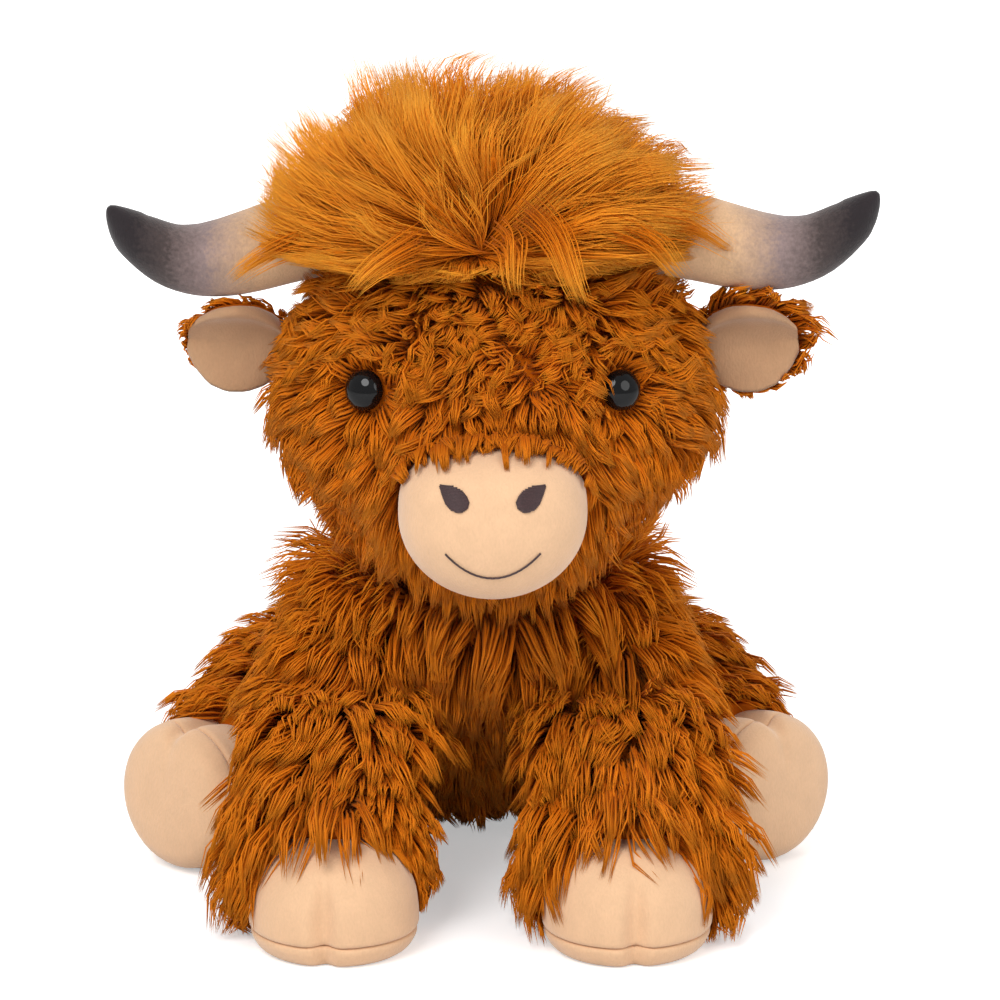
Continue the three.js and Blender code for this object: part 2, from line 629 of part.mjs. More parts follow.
function headPieces() {
  const eyes = sides.map(({ sign }) => eyePlace(sign));
  const horns = sides.map(hornForm);
  const neckHole = post(HEAD_X, NECK_Y, HEAD_BOTTOM - 10, HEAD_BOTTOM + FUR_WALL + 6, NECK_HOLE_RADIUS);
  const cover = cut(
    headForm.solid(0, HEAD_FACETS), headForm.solid(FUR_WALL, SKULL_FACETS), neckHole, patchWell(0),
    muzzleForm.solid(-SEAM_GAP, MUZZLE_FACETS),
    ...horns.map((horn) => horn.solid(-SEAM_GAP, HORN_FACETS)),
    ...eyes.map(eyeHollow), ...eyes.map(shankHole), ...eyes.map(washerPocket),
    ...sides.map(({ sign }) => earSlot(sign)),
  );
  const filling = cut(
    headForm.solid(FUR_WALL + SEAM_GAP, SKULL_FACETS), ...eyes.map(washerPocket), ...eyes.map(shankHole),
  );
  const pieces = { head_fur_shell: mainBody(cover), head_stuffing: mainBody(filling) };
  Object.assign(pieces, muzzlePieces(), forelockPieces());
  const skull = headForm.solid(FUR_WALL, SKULL_FACETS);
  sides.forEach(({ name, sign }, i) => {
    const horn = horns[i];
    const hornCover = cut(horn.solid(0, HORN_FACETS), horn.solid(SHORT_PILE, CORE_FACETS), skull);
    pieces[`horn_${name}`] = mainBody(hornCover);
    pieces[`horn_stuffing_${name}`] = mainBody(cut(horn.solid(SHORT_PILE + SEAM_GAP, CORE_FACETS), skull));
    pieces[`eye_${name}`] = eye(eyes[i]);
    pieces[`eye_washer_${name}`] = washer(eyes[i]);
    pieces[`nostril_${name}`] = nostril(sign);
  });
  pieces.smile_stitch = smile();
  return pieces;
}

// Hooves: a rounded block with a cleft between the toes, in its own frame: sole on z = 0, toes at -y
const hoofShares = [
  // height, width
  [0, 0.8], [0.07, 0.92], [0.21, 1], [0.42, 1], [0.62, 0.95], [0.8, 0.82], [0.93, 0.62], [1, 0.42],
];
const hoofCoreShares = [0, 2, 4, 7].map((i) => hoofShares[i]);

/** Angles round a hoof, closer together at the cleft. */
const hoofAngles = (segments) => Array.from({ length: segments }, (_, j) => {
  const turn = (2 * Math.PI * j) / segments - Math.PI;
  return turn - TOE_CROWDING * Math.sin(turn);
});

function hoofSkin(inset, shares = hoofShares, segments = HOOF_SEGMENTS) {
  const rings = shares.map(([h, share]) => {
    const z = h * HOOF_HEIGHT + inset * (1 - 2 * h);
    const cleft = CLEFT_DEPTH * Math.sin(Math.PI * Math.min(1, h + 0.15)) ** 0.6;
    return hoofAngles(segments).map((turn) => {
      const dent = cleft * Math.exp(-((turn / CLEFT_ANGLE) ** 2));
      const a = HOOF_HALF_WIDTH * share - inset;
      const b = HOOF_HALF_LENGTH * share - inset - dent;
      return new THREE.Vector3(a * Math.sin(turn), -b * Math.cos(turn), z);
    });
  });
  return skinOf(rings);
}

const slab = (low, high) => {
  const box = new THREE.BoxGeometry(4 * HOOF_HALF_WIDTH, 4 * HOOF_HALF_LENGTH, high - low);
  box.translate(0, 0, (low + high) / 2);
  return box;
};

/** Hoof upper, sole and filling, placed by a matrix. */
function hoofPieces(matrix) {
  const placed = (geometry) => solidOf(geometry.applyMatrix4(matrix));
  const outer = placed(hoofSkin(0));
  const core = (inset) => placed(hoofSkin(inset, hoofCoreShares, HOOF_CORE_SEGMENTS));
  const inner = core(SHORT_PILE);
  const upperZone = placed(slab(SOLE_SEAM + SEAM_GAP / 2, HOOF_HEIGHT * 2));
  const soleZone = placed(slab(-HOOF_HEIGHT, SOLE_SEAM - SEAM_GAP / 2));
  return {
    upper: cut(outer.intersect(upperZone), inner),
    sole: mainBody(cut(outer.intersect(soleZone), inner)),
    filling: core(SHORT_PILE + SEAM_GAP),
    room: placed(hoofSkin(-SEAM_GAP)),
  };
}

function frontHoofMatrix({ sign, frontX, hoofTurn }) {
  const turn = new THREE.Matrix4().makeRotationZ(radians(hoofTurn));
  const y = SHOULDER_Y - FRONT_STRIDE - HOOF_HALF_LENGTH + HEEL_COVER;
  return turn.premultiply(new THREE.Matrix4().makeTranslation(sign * frontX, y, 0));
}

// The sole of a hind hoof faces forwards and outwards, with its toes up and its heel on the floor
function hindHoofMatrix({ sign, hindFoot }) {
  const inwards = new THREE.Vector3(-sign * 0.68, 0.72, -0.08).normalize();
  const toes = Z.clone().addScaledVector(inwards, -Z.dot(inwards)).normalize();
  const back = toes.clone().negate();
  const basis = new THREE.Matrix4().makeBasis(back.clone().cross(inwards), back, inwards);
  const trial = hoofSkin(0).applyMatrix4(basis);
  trial.computeBoundingBox();
  const stand = new THREE.Matrix4().makeTranslation(...hindFoot, -trial.boundingBox.min.z);
  return basis.premultiply(stand);
}

/** A round bar between two points. */
function bar(from, to, radius) {
  const along = to.clone().sub(from);
  const geometry = new THREE.CylinderGeometry(radius, radius, along.length(), 10);
  geometry.applyQuaternion(new THREE.Quaternion().setFromUnitVectors(Y, along.clone().normalize()));
  const middle = from.clone().add(to).multiplyScalar(0.5);
  geometry.translate(middle.x, middle.y, middle.z);
  return solidOf(geometry);
}

/** Fur sleeve, hoof and filling. The filling runs through the ankle from the hoof up into the leg. */
function legPieces(rootBall, sleeve, matrix, shinShare) {
  const hoof = hoofPieces(matrix);
  const shin = sleeve.centres.getPoint(shinShare);
  const heart = new THREE.Vector3(0, 0, HOOF_HEIGHT * HOOF_HEART).applyMatrix4(matrix);
  const ankle = bar(heart, shin, ANKLE_OPENING);
  const ankleRoom = bar(heart, shin, ANKLE_OPENING + SEAM_GAP);
  const skin = (inset, facets) => join(rootBall(inset, facets[0]), sleeve.solid(inset, facets));
  const fur = cut(skin(0, LEG_FACETS), skin(FUR_WALL, MARROW_FACETS), hoof.room, ankleRoom);
  const core = cut(skin(FUR_WALL + LEG_SLACK, MARROW_FACETS), hoof.room);
  return {
    fur: mainBody(fur),
    stuffing: mainBody(join(core, hoof.filling, ankle)),
    upper: mainBody(cut(hoof.upper, ankleRoom)),
    sole: hoof.sole,
  };
}

function frontLegForm({ sign, frontX }) {
  const ankleY = SHOULDER_Y - FRONT_STRIDE;
  const w = FRONT_LEG_HALF_WIDTH;
  const stations = [
    [SHOULDER_X, SHOULDER_Y, SHOULDER_Z, w - 3, w - 3],
    [(SHOULDER_X + frontX) / 2, SHOULDER_Y - 0.47 * FRONT_STRIDE, SHOULDER_Z - 12, w, w - 2],
    [frontX, SHOULDER_Y - 0.87 * FRONT_STRIDE, SHOULDER_Z - 32, w, w - 1],
    [frontX, ankleY, FRONT_ANKLE_Z, w + 0.6 * FUR_SKIRT, w - 2],
    [frontX, ankleY - 2, FRONT_ANKLE_Z / 2, w + FUR_SKIRT, w - 3],
    [frontX, ankleY - 3, FUR_FLOOR_GAP + 3, w + FUR_SKIRT + 1, w - 3],
    [frontX, ankleY - 3, FUR_FLOOR_GAP, w + FUR_SKIRT - 2, w - 6],
  ];
  return new SoftForm(stations.reverse().map(([x, y, z, a, b]) => [sign * x, y, z, a, b]), { level: true });
}

function hindLegForm({ sign, hindFoot }) {
  const ankle = [hindFoot[0] - sign * HIND_ANKLE_INSET, hindFoot[1] + HIND_ANKLE_BACK, ANKLE_RADIUS + 2];
  const hip = [sign * HIP_X, HIP_Y, HIP_Z];
  const mix = (t) => {
    const arch = Math.sin(Math.PI * Math.min(t, 1));
    const bulge = [sign * THIGH_BOW * arch, 0, THIGH_RISE * arch];
    return hip.map((value, i) => value + t * (ankle[i] - value) + bulge[i]);
  };
  const stations = [
    [...mix(0), HIP_RADIUS - 2, HIP_RADIUS - 2],
    [...mix(0.35), HIP_RADIUS - 3, HIP_RADIUS - 3],
    [...mix(0.7), ANKLE_RADIUS + 2.5, ANKLE_RADIUS + 2],
    [...mix(0.95), ANKLE_RADIUS + 1, ANKLE_RADIUS + 1],
    [...mix(1.06), ANKLE_RADIUS - 3, ANKLE_RADIUS - 3],
  ];
  return new SoftForm(stations, { side: Z });
}

const shoulderBall = (sign) => (inset, segments) => ball(
  sign * SHOULDER_X, SHOULDER_Y, SHOULDER_Z, SHOULDER_RADIUS - inset, segments, X,
);
const hipBall = (sign) => (inset, segments) => ball(
  sign * HIP_X, HIP_Y, HIP_Z, HIP_RADIUS - inset, segments, Z,
);

// Tail: a fur cord from the torso's back, with a longer tassel
const backAt = (height) => {
  const { centre, half } = torsoForm.at(height);
  return centre.y + half.y;
};
const tailPivot = [0, backAt(TAIL_ROOT_Z), TAIL_ROOT_Z];

function tailForms() {
  const low = TAIL_ROOT_Z - TAIL_LENGTH * 0.65;
  const clear = backAt(low) + SWING_GAP;
  const cord = new SoftForm([
    [0, tailPivot[1] + 2, TAIL_ROOT_Z + 3, TAIL_RADIUS - 2, TAIL_RADIUS - 2],
    [0, tailPivot[1] + TAIL_RADIUS + 2, TAIL_ROOT_Z + 1, TAIL_RADIUS, TAIL_RADIUS],
    [0, clear + TAIL_RADIUS + 3, TAIL_ROOT_Z - 0.4 * TAIL_LENGTH, TAIL_RADIUS, TAIL_RADIUS],
    [0, clear + TASSEL_RADIUS, TAIL_ROOT_Z - 0.75 * TAIL_LENGTH, TAIL_RADIUS - 1, TAIL_RADIUS - 1],
  ]);
  const tassel = new SoftForm([
    [0, clear + TASSEL_RADIUS, low, TAIL_RADIUS, TAIL_RADIUS],
    [0, clear + TASSEL_RADIUS + 1, low - 0.25 * TASSEL_LENGTH, TASSEL_RADIUS, TASSEL_RADIUS],
    [0, clear + TASSEL_RADIUS + 1, low - 0.55 * TASSEL_LENGTH, TASSEL_RADIUS, TASSEL_RADIUS],
    [0, clear + TASSEL_RADIUS + 1, low - 0.8 * TASSEL_LENGTH, TASSEL_RADIUS * 0.6, TASSEL_RADIUS * 0.6],
  ]);
  return { cord, tassel };
}

function tailPieces() {
  const { cord, tassel } = tailForms();
  const swings = [-1, 0, 1].map((share) => share * TAIL_SWING);
  const room = swept(cord.solid(-SWING_GAP, CORE_FACETS), tailPivot, Y, swings);
  return {
    tail_fur: cord.solid(0, CORE_FACETS),
    tail_tassel: mainBody(cut(tassel.solid(0, HORN_FACETS), cord.solid(-SEAM_GAP, CORE_FACETS))),
    room,
  };
}

function torsoPieces(frontLegs, hindLegs, tailRoom) {
  const turns = (limit) => [0, limit / 2, limit];
  const rooms = [tailRoom, headForm.solid(-SWING_GAP, HEAD_FACETS)];
  const hollows = [headForm.solid(-FILLING_GAP / 2, SKULL_FACETS)];
  // The corners of a faceted ball stand out over its flats and pass them when it turns
  const cornerGap = HIP_RADIUS * (1 - Math.cos(Math.PI / LEG_FACETS[0]));
  const makeRoom = (rootBall, sleeve, pivot, axis, limit) => {
    rooms.push(rootBall(-SWING_GAP - cornerGap, LEG_FACETS[0]));
    rooms.push(swept(sleeve.solid(-SWING_GAP, LEG_FACETS), pivot, axis, turns(limit)));
    hollows.push(rootBall(-FILLING_GAP, HOLLOW_FACETS[0]));
    hollows.push(swept(sleeve.solid(-FILLING_GAP, HOLLOW_FACETS), pivot, axis, [0, limit]));
  };
  for (const { sign, shoulder, sleeve } of frontLegs) {
    makeRoom(shoulder, sleeve, [sign * SHOULDER_X, SHOULDER_Y, SHOULDER_Z], X, -FRONT_LIFT);
  }
  for (const { sign, hip, sleeve } of hindLegs) {
    makeRoom(hip, sleeve, [sign * HIP_X, HIP_Y, HIP_Z], Z, sign * HIND_SPLAY);
  }
  const neckHole = post(
    HEAD_X, NECK_Y, HEAD_BOTTOM - FUR_WALL - 6, HEAD_BOTTOM + FUR_WALL + 6, NECK_HOLE_RADIUS,
  );
  const neckPlug = post(
    HEAD_X, NECK_Y, HEAD_BOTTOM - 5, HEAD_BOTTOM + FUR_WALL - SEAM_GAP, NECK_HOLE_RADIUS - SEAM_GAP,
  );
  const pouchForm = new SoftForm(pouchShares.map(([h, size]) => [
    0, POUCH_Y, FUR_WALL + SEAM_GAP + h * (POUCH_HEIGHT - SEAM_GAP),
    size * POUCH_HALF_WIDTH, size * POUCH_HALF_DEPTH,
  ]), { level: true });
  const hide = cut(torsoForm.solid(0, TORSO_FACETS), torsoForm.solid(FUR_WALL, SKULL_FACETS));
  const cover = cut(hide, neckHole, ...rooms);
  const cavity = torsoForm.solid(FUR_WALL + SEAM_GAP, SKULL_FACETS);
  const pouchRoom = join(
    pouchForm.solid(-SEAM_GAP, CORE_FACETS),
    post(0, POUCH_Y, FUR_WALL - BACKING, FUR_WALL + BACKING, 0.8 * POUCH_HALF_DEPTH),
  );
  const filling = cut(join(cut(cavity, ...hollows), neckPlug), pouchRoom);
  const pouch = cut(pouchForm.solid(0, CORE_FACETS).intersect(cavity), ...hollows);
  return {
    torso_fur_shell: mainBody(cover), torso_stuffing: mainBody(filling), seat_pellet_pouch: mainBody(pouch),
  };
}

const paint = {
  fur: [0xa0561a, 0.95], hair: [0xc8771e, 0.85], peach: [0xeec49c, 0.9], filling: [0xf4f1ea, 1],
  horn: [0x8a7a7c, 0.9], eye: [0x080808, 0.08], thread: [0x3b2425, 0.7], plastic: [0xe8e8e6, 0.5],
  pouch: [0xd8d2c4, 0.9],
};

function paintOf(name) {
  if (/stuffing/.test(name)) return paint.filling;
  if (/hoof|muzzle|lining/.test(name)) return paint.peach;
  if (/^horn/.test(name)) return paint.horn;
  if (/washer/.test(name)) return paint.plastic;
  if (/^eye/.test(name)) return paint.eye;
  if (/nostril|smile/.test(name)) return paint.thread;
  if (/pouch/.test(name)) return paint.pouch;
  if (/hair|tassel/.test(name)) return paint.hair;
  return paint.fur;
}

const cow = new THREE.Group();
cow.name = 'plush_cow';

function addPiece(name, solid) {
  const [color, roughness] = paintOf(name);
  const material = new THREE.MeshStandardMaterial({ color, roughness, metalness: 0 });
  const mesh = new THREE.Mesh(geometryOf(solid), material);
  mesh.name = name;
  cow.add(mesh);
}

const { room: tailRoom, ...tail } = tailPieces();
const frontLegs = [];
const hindLegs = [];
for (const side of sides) {
  const { name, sign } = side;
  const front = { sign, shoulder: shoulderBall(sign), sleeve: frontLegForm(side) };
  const hind = { sign, hip: hipBall(sign), sleeve: hindLegForm(side) };
  frontLegs.push(front);
  hindLegs.push(hind);
  const legs = {
    front: legPieces(front.shoulder, front.sleeve, frontHoofMatrix(side), FRONT_SHIN),
    hind: legPieces(hind.hip, hind.sleeve, hindHoofMatrix(side), HIND_SHIN),
  };
  for (const [end, leg] of Object.entries(legs)) {
    addPiece(`${end}_leg_fur_${name}`, leg.fur);
    addPiece(`${end}_leg_stuffing_${name}`, leg.stuffing);
    addPiece(`${end}_hoof_upper_${name}`, leg.upper);
    addPiece(`${end}_hoof_sole_${name}`, leg.sole);
  }
  const ear = earPieces(sign);
  addPiece(`ear_back_${name}`, ear.back);
  addPiece(`ear_lining_${name}`, ear.lining);
}
for (const [name, solid] of Object.entries(headPieces())) addPiece(name, solid);
for (const [name, solid] of Object.entries(torsoPieces(frontLegs, hindLegs, tailRoom))) addPiece(name, solid);
for (const [name, solid] of Object.entries(tail)) addPiece(name, solid);

// The origin lies on the floor, under the middle of the whole cow
const middle = new THREE.Box3().setFromObject(cow).getCenter(new THREE.Vector3());
cow.position.set(-middle.x, -middle.y, 0);

export default cow;
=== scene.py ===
"""Dresses a packed, seated toy cow: fur, long forelock, short pile, horns, eyes and stitching.

Shapes are given in the pattern's millimetres, in which the seat's middle line is x = 0, and are placed on
the frame by its neck joint. Left is -x and right is +x, as for someone who looks at the cow's face.
"""

import json
import math

import bmesh
import bpy
import numpy as np
from bpy.props import FloatProperty, FloatVectorProperty, PointerProperty
from mathutils import Matrix, Vector


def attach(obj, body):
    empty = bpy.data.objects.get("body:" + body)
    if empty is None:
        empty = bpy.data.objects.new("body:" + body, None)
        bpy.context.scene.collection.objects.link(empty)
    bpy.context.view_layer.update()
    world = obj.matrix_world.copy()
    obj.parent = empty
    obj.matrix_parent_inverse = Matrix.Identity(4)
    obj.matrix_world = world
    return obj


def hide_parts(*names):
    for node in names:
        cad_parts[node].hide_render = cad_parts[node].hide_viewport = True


bl_info = {
    "name": "Plush Cow Dresser",
    "version": (1, 0, 0),
    "blender": (4, 5, 0),
    "location": "View3D > Sidebar > Plush Cow",
    "description": "Dresses a packed toy cow in fur, short pile, horns, eyes and stitching",
    "category": "Object",
}

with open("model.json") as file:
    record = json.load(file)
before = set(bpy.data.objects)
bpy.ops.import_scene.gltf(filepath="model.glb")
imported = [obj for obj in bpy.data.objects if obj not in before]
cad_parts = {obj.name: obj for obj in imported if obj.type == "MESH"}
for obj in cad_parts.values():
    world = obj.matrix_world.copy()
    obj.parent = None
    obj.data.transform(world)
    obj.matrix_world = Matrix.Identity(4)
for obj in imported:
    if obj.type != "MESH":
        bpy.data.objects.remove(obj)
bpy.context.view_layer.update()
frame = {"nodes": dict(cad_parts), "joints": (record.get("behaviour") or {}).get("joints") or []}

MM = 0.001
NECK_IN_PATTERN = (3, -42, 108)
NECK_ON_FRAME = next(j["pos_m"] for j in frame["joints"] if j["name"] == "neck_turn")
SHIFT = np.array(NECK_ON_FRAME) / MM - NECK_IN_PATTERN
UP = np.array([0.0, 0.0, 1.0])
SIDES = {
    "left": {
        "sign": -1, "hind_foot": (-114, -27), "hoof_turn": -6, "front_x": 51.5,
        "horn_sag": 30, "horn_rise": 11.5, "ear_fringe": 0.15, "inner_pile": 0.5, "hem": 0.4,
    },
    "right": {
        "sign": 1, "hind_foot": (108, -18), "hoof_turn": 5, "front_x": 49,
        "horn_sag": 27, "horn_rise": 16.5, "ear_fringe": 0.85, "inner_pile": 0.9, "hem": 1.1,
    },
}


def placed(points):
    """Pattern millimetres to metres on the frame."""
    return (np.asarray(points, float) + SHIFT) * MM


def in_pattern(points):
    """Metres on the frame to pattern millimetres."""
    return np.asarray(points, float) / MM - SHIFT


def unit(vectors):
    """Vectors scaled to length 1."""
    return vectors / np.maximum(np.linalg.norm(vectors, axis=-1, keepdims=True), 1e-9)


# Forms


class Form:
    """A soft form through stations of centre x, y, z and the two half sizes of its section."""

    SAMPLES = 60
    SLIMMEST = 0.6

    def __init__(self, stations, upright=True, side=(1, 0, 0)):
        s = np.array(stations, float)
        self.rows = np.vstack([2 * s[0] - s[1], s, 2 * s[-1] - s[-2]])
        self.upright = upright
        self.side = np.array(side, float)

    def at(self, t):
        """Centre and half sizes at a share of the path, on a smooth curve through the stations."""
        x = min(max(t, 0), 1) * (len(self.rows) - 3)
        i = min(int(x), len(self.rows) - 4)
        a, b, c, d = self.rows[i : i + 4]
        w = x - i
        bend = 2 * b + (c - a) * w + (2 * a - 5 * b + 4 * c - d) * w**2 + (3 * b - a - 3 * c + d) * w**3
        return 0.5 * bend

    def along(self, t):
        """Way of the path at a share of it."""
        return unit(self.at(min(t + 1e-3, 1))[:3] - self.at(max(t - 1e-3, 0))[:3])

    def ring(self, t, inset, segments):
        """Points round one section of the form, less an inset."""
        path = self.along(t)
        axis = UP if self.upright else path
        side = unit(self.side - axis * (self.side @ axis))
        other = np.cross(axis, side)
        x, y, z, a, b = self.at(t)
        centre = np.array([x, y, z]) + path * inset * (1 - 2 * t)
        turn = np.arange(segments) * 2 * math.pi / segments
        a, b = (max(half - inset, self.SLIMMEST) for half in (a, b))
        return centre + a * np.cos(turn)[:, None] * side + b * np.sin(turn)[:, None] * other

    def rings(self, inset, segments, steps):
        """Evenly spaced sections from end to end."""
        return [self.ring(t, inset, segments) for t in np.linspace(0, 1, steps + 1)]

    def holds(self, points, inset):
        """Which points lie in the form, less an inset."""
        shares = np.linspace(0, 1, self.SAMPLES)
        rows = np.array([self.at(t) for t in shares])
        if self.upright:
            z = points[:, 2]
            x, y, a, b = (np.interp(z, rows[:, 2], rows[:, k]) for k in (0, 1, 3, 4))
            a, b = (np.maximum(h - inset, 1e-3) for h in (a, b))
            within = ((points[:, 0] - x) / a) ** 2 + ((points[:, 1] - y) / b) ** 2 < 1
            return within & (z > rows[0, 2]) & (z < rows[-1, 2])
        path = unit(np.gradient(rows[:, :3], axis=0))
        centre = rows[:, :3] + path * inset * (1 - 2 * shares)[:, None]
        step = np.linalg.norm(np.diff(centre, axis=0), axis=1).max()
        away = points[:, None] - centre[None]
        deep = (away * path).sum(axis=2)
        wide = (away**2).sum(axis=2) - deep**2
        return ((np.abs(deep) <= step) & (wide < np.maximum(rows[:, 3] - inset, 0) ** 2)).any(axis=1)


def dome(centre, radius, axis):
    """Stations of a rounded end that closes a form beyond a centre."""
    rows = []
    for share in (0.45, 0.78, 0.96):
        size = radius * math.sqrt(1 - share * share)
        rows.append([*(np.array(centre) + np.array(axis) * share * radius), size, size])
    return rows


SEAT_Y, TORSO_HEIGHT, TORSO_LEAN = 62, 124, 94
TORSO_HALF = (72, 68)
TORSO_SHARES = [
    (0, 0, 0.6, 0.46), (0.03, 0.01, 0.8, 0.64), (0.16, 0.1, 0.96, 0.86), (0.35, 0.25, 1, 0.96),
    (0.52, 0.44, 0.98, 1), (0.68, 0.65, 0.97, 1), (0.81, 0.82, 0.96, 0.9), (0.91, 0.93, 0.95, 0.78),
    (0.975, 0.98, 0.91, 0.66), (1, 1, 0.82, 0.52),
]
torso_form = Form([
    (0, SEAT_Y - lean * TORSO_LEAN, h * TORSO_HEIGHT, a * TORSO_HALF[0], b * TORSO_HALF[1])
    for h, lean, a, b in TORSO_SHARES
])

HEAD_X, NECK_Y, HEAD_BOTTOM = NECK_IN_PATTERN
HEAD_HEIGHT, FACE_SHIFT = 144, 10
HEAD_HALF = (80, 61)
SKULL_Y = NECK_Y - FACE_SHIFT
HEAD_SHARES = [
    (0, 0, 0.25, 0.33), (0.042, 0, 0.44, 0.577), (0.104, 0.05, 0.61, 0.76), (0.188, 0.3, 0.76, 0.88),
    (0.281, 0.7, 0.87, 0.95), (0.375, 1, 0.955, 0.99), (0.469, 1, 1, 1), (0.583, 0.9, 0.99, 0.99),
    (0.7, 0.8, 0.94, 0.95), (0.812, 0.7, 0.84, 0.86), (0.903, 0.6, 0.69, 0.71), (0.972, 0.55, 0.42, 0.44),
    (1, 0.55, 0.13, 0.14),
]
head_form = Form([
    (HEAD_X, NECK_Y - shift * FACE_SHIFT, HEAD_BOTTOM + h * HEAD_HEIGHT, a * HEAD_HALF[0], b * HEAD_HALF[1])
    for h, shift, a, b in HEAD_SHARES
])


def form_point(form, angle, height, inset):
    """Point of an upright form's skin at an angle from +x and a height, with its outward normal."""
    rows = np.array([form.at(t) for t in np.linspace(0, 1, 400)])

    def rim(h, turn):
        x, y, a, b = (np.interp(h, rows[:, 2], rows[:, k]) for k in (0, 1, 3, 4))
        return np.array([x + (a - inset) * math.cos(turn), y + (b - inset) * math.sin(turn), h])

    across = rim(height, angle + 0.02) - rim(height, angle - 0.02)
    upwards = rim(height + 1, angle) - rim(height - 1, angle)
    return rim(height, angle), unit(np.cross(across, upwards))


MUZZLE_HALF_WIDTH, MUZZLE_UPPER, MUZZLE_LOWER = 31.5, 24, 28
MUZZLE_Z = HEAD_BOTTOM + 47
MUZZLE_BACK = SKULL_Y - HEAD_HALF[1] + 22
MUZZLE_SHOULDER = SKULL_Y - HEAD_HALF[1] + 3
MUZZLE_TIP = SKULL_Y - HEAD_HALF[1] - 26
BROW_POWER, CHIN_POWER, DOME_POWER = 2.7, 2.0, 2.5


def muzzle_share(x, z):
    """0 in the muzzle's middle and 1 on its outline."""
    tall = np.where(z > 0, MUZZLE_UPPER, MUZZLE_LOWER)
    power = np.where(z > 0, BROW_POWER, CHIN_POWER)
    return (np.abs(x / MUZZLE_HALF_WIDTH) ** power + np.abs(z / tall) ** power) ** (1 / power)


def muzzle_front(x, z):
    """Points of the muzzle's front at x and z from its middle."""
    x, z = np.broadcast_arrays(np.asarray(x, float), np.asarray(z, float))
    share = np.minimum(muzzle_share(x, z), 0.999)
    deep = (1 - share**DOME_POWER) ** (1 / DOME_POWER)
    y = MUZZLE_SHOULDER + deep * (MUZZLE_TIP - MUZZLE_SHOULDER)
    return np.stack([HEAD_X + x, y, MUZZLE_Z + z], axis=-1)


EYE_RADIUS, EYE_DOME, EYE_RISE, EYE_ANGLE = 7, 5, 84, 51


def eye_place(sign):
    """Middle of an eye on the face, and the way out of it."""
    angle = -math.pi / 2 + sign * math.radians(90 - EYE_ANGLE)
    return form_point(head_form, angle, HEAD_BOTTOM + EYE_RISE, 12)


HORN_RADIUS, HORN_REACH, HORN_TIP, HORN_TAPER = 15, 90.5, 0.31, 0.55
HORN_ROOT = (40, 2, 130)


def horn_form(side):
    """A horn from inside the head: level at first, sagging halfway and curled up to its tip."""
    sign = side["sign"]
    root = np.array([HEAD_X + sign * HORN_ROOT[0], SKULL_Y + HORN_ROOT[1], HEAD_BOTTOM + HORN_ROOT[2]])
    slimming = 1 - HORN_TIP ** (1 / HORN_TAPER)
    corners = [
        root, root + [sign * HORN_REACH * 0.4, 0, 8], root + [sign * HORN_REACH * 0.67, 0, -side["horn_sag"]],
        root + [sign * HORN_REACH, -10, side["horn_rise"]],
    ]
    rows = []
    for t in [*np.linspace(0, 0.88, 9), 0.93, 0.965, 0.988, 0.998]:
        weights = [(1 - t) ** 3, 3 * t * (1 - t) ** 2, 3 * t * t * (1 - t), t**3]
        centre = sum(w * c for w, c in zip(weights, corners))
        tip = max(0, t - 0.9) / 0.1
        radius = HORN_RADIUS * (1 - slimming * t**2.6) ** HORN_TAPER * math.sqrt(1 - tip * tip)
        rows.append([*centre, radius, radius])
    return Form(rows, upright=False, side=(0, 1, 0))


EAR_LENGTH, EAR_HALF_WIDTH, EAR_CUP, EAR_TILT, EAR_ROLL, NAP = 33, 16.5, 6, 6, 5, 2.2
EAR_WIDTHS = [
    (0, 0.62), (0.14, 0.84), (0.3, 0.98), (0.5, 1), (0.7, 0.88), (0.86, 0.62), (0.96, 0.34), (1, 0.12),
]


def ear_frame(sign):
    """Root of an ear, the ways along and across it and out of its lining."""
    angle = 0.05 if sign > 0 else math.pi - 0.05
    root, _ = form_point(head_form, angle, HEAD_BOTTOM + 0.62 * HEAD_HEIGHT, 5)
    droop = math.radians(-8)
    along = np.array([sign * math.cos(droop), 0, -math.sin(droop)])
    across = np.array([sign * math.sin(droop), 0, math.cos(droop)])
    return root, along, across, np.array([0.0, -1.0, 0.0])


def ear_point(sign, share, u, depth):
    """Point of an ear at shares of its length and width, at a depth in front of its middle layer."""
    root, along, across, out = ear_frame(sign)
    width = EAR_HALF_WIDTH * np.interp(share, *zip(*EAR_WIDTHS))
    bent = min(1, 2 * share)
    cup = EAR_CUP * u * u * min(bent, max(0, 3 - 3 * share)) + EAR_TILT * max(u, 0) * bent
    return root + along * share * EAR_LENGTH + across * width * u + out * (cup + depth)


MOP_MIDDLE = (-1, SKULL_Y, 240)
MOP_HALF = (76, 59)
MOP_UPPER, MOP_LOWER = 55, 17
# Above one height the mop leans to the left, and above the other its tips are drawn in
MOP_LEAN_FROM, MOP_LEAN, MOP_CROP_FROM, MOP_CROP = 262, 0.22, 299, 0.5
SCALP_SIDE, SCALP_TOP = 0.62, 0.24


def mop_way(polar, turn):
    """Ways out of the mop's middle, by the angle from its whorl at the front and the turn round it."""
    return np.stack([np.sin(polar) * np.cos(turn), -np.cos(polar), np.sin(polar) * np.sin(turn)], axis=-1)


def mop_point(way, depth):
    """Points of the mop along ways out of its middle, 0 deep at the scalp and 1 at the mop's skin."""
    scalp = SCALP_SIDE + (SCALP_TOP - SCALP_SIDE) * np.maximum(way[..., 2], 0) ** 1.5
    tall = np.where(way[..., 2] > 0, MOP_UPPER, MOP_LOWER)
    size = np.stack([MOP_HALF[0] + 0 * tall, MOP_HALF[1] + 0 * tall, tall], axis=-1)
    return np.array(MOP_MIDDLE) + way * size * (scalp + (1 - scalp) * depth)[..., None]


SHOULDER = (47, -36, 77)
SHOULDER_RADIUS = 35
STRIDE = 45
LEG_HALF_WIDTH, SKIRT = 38, 4


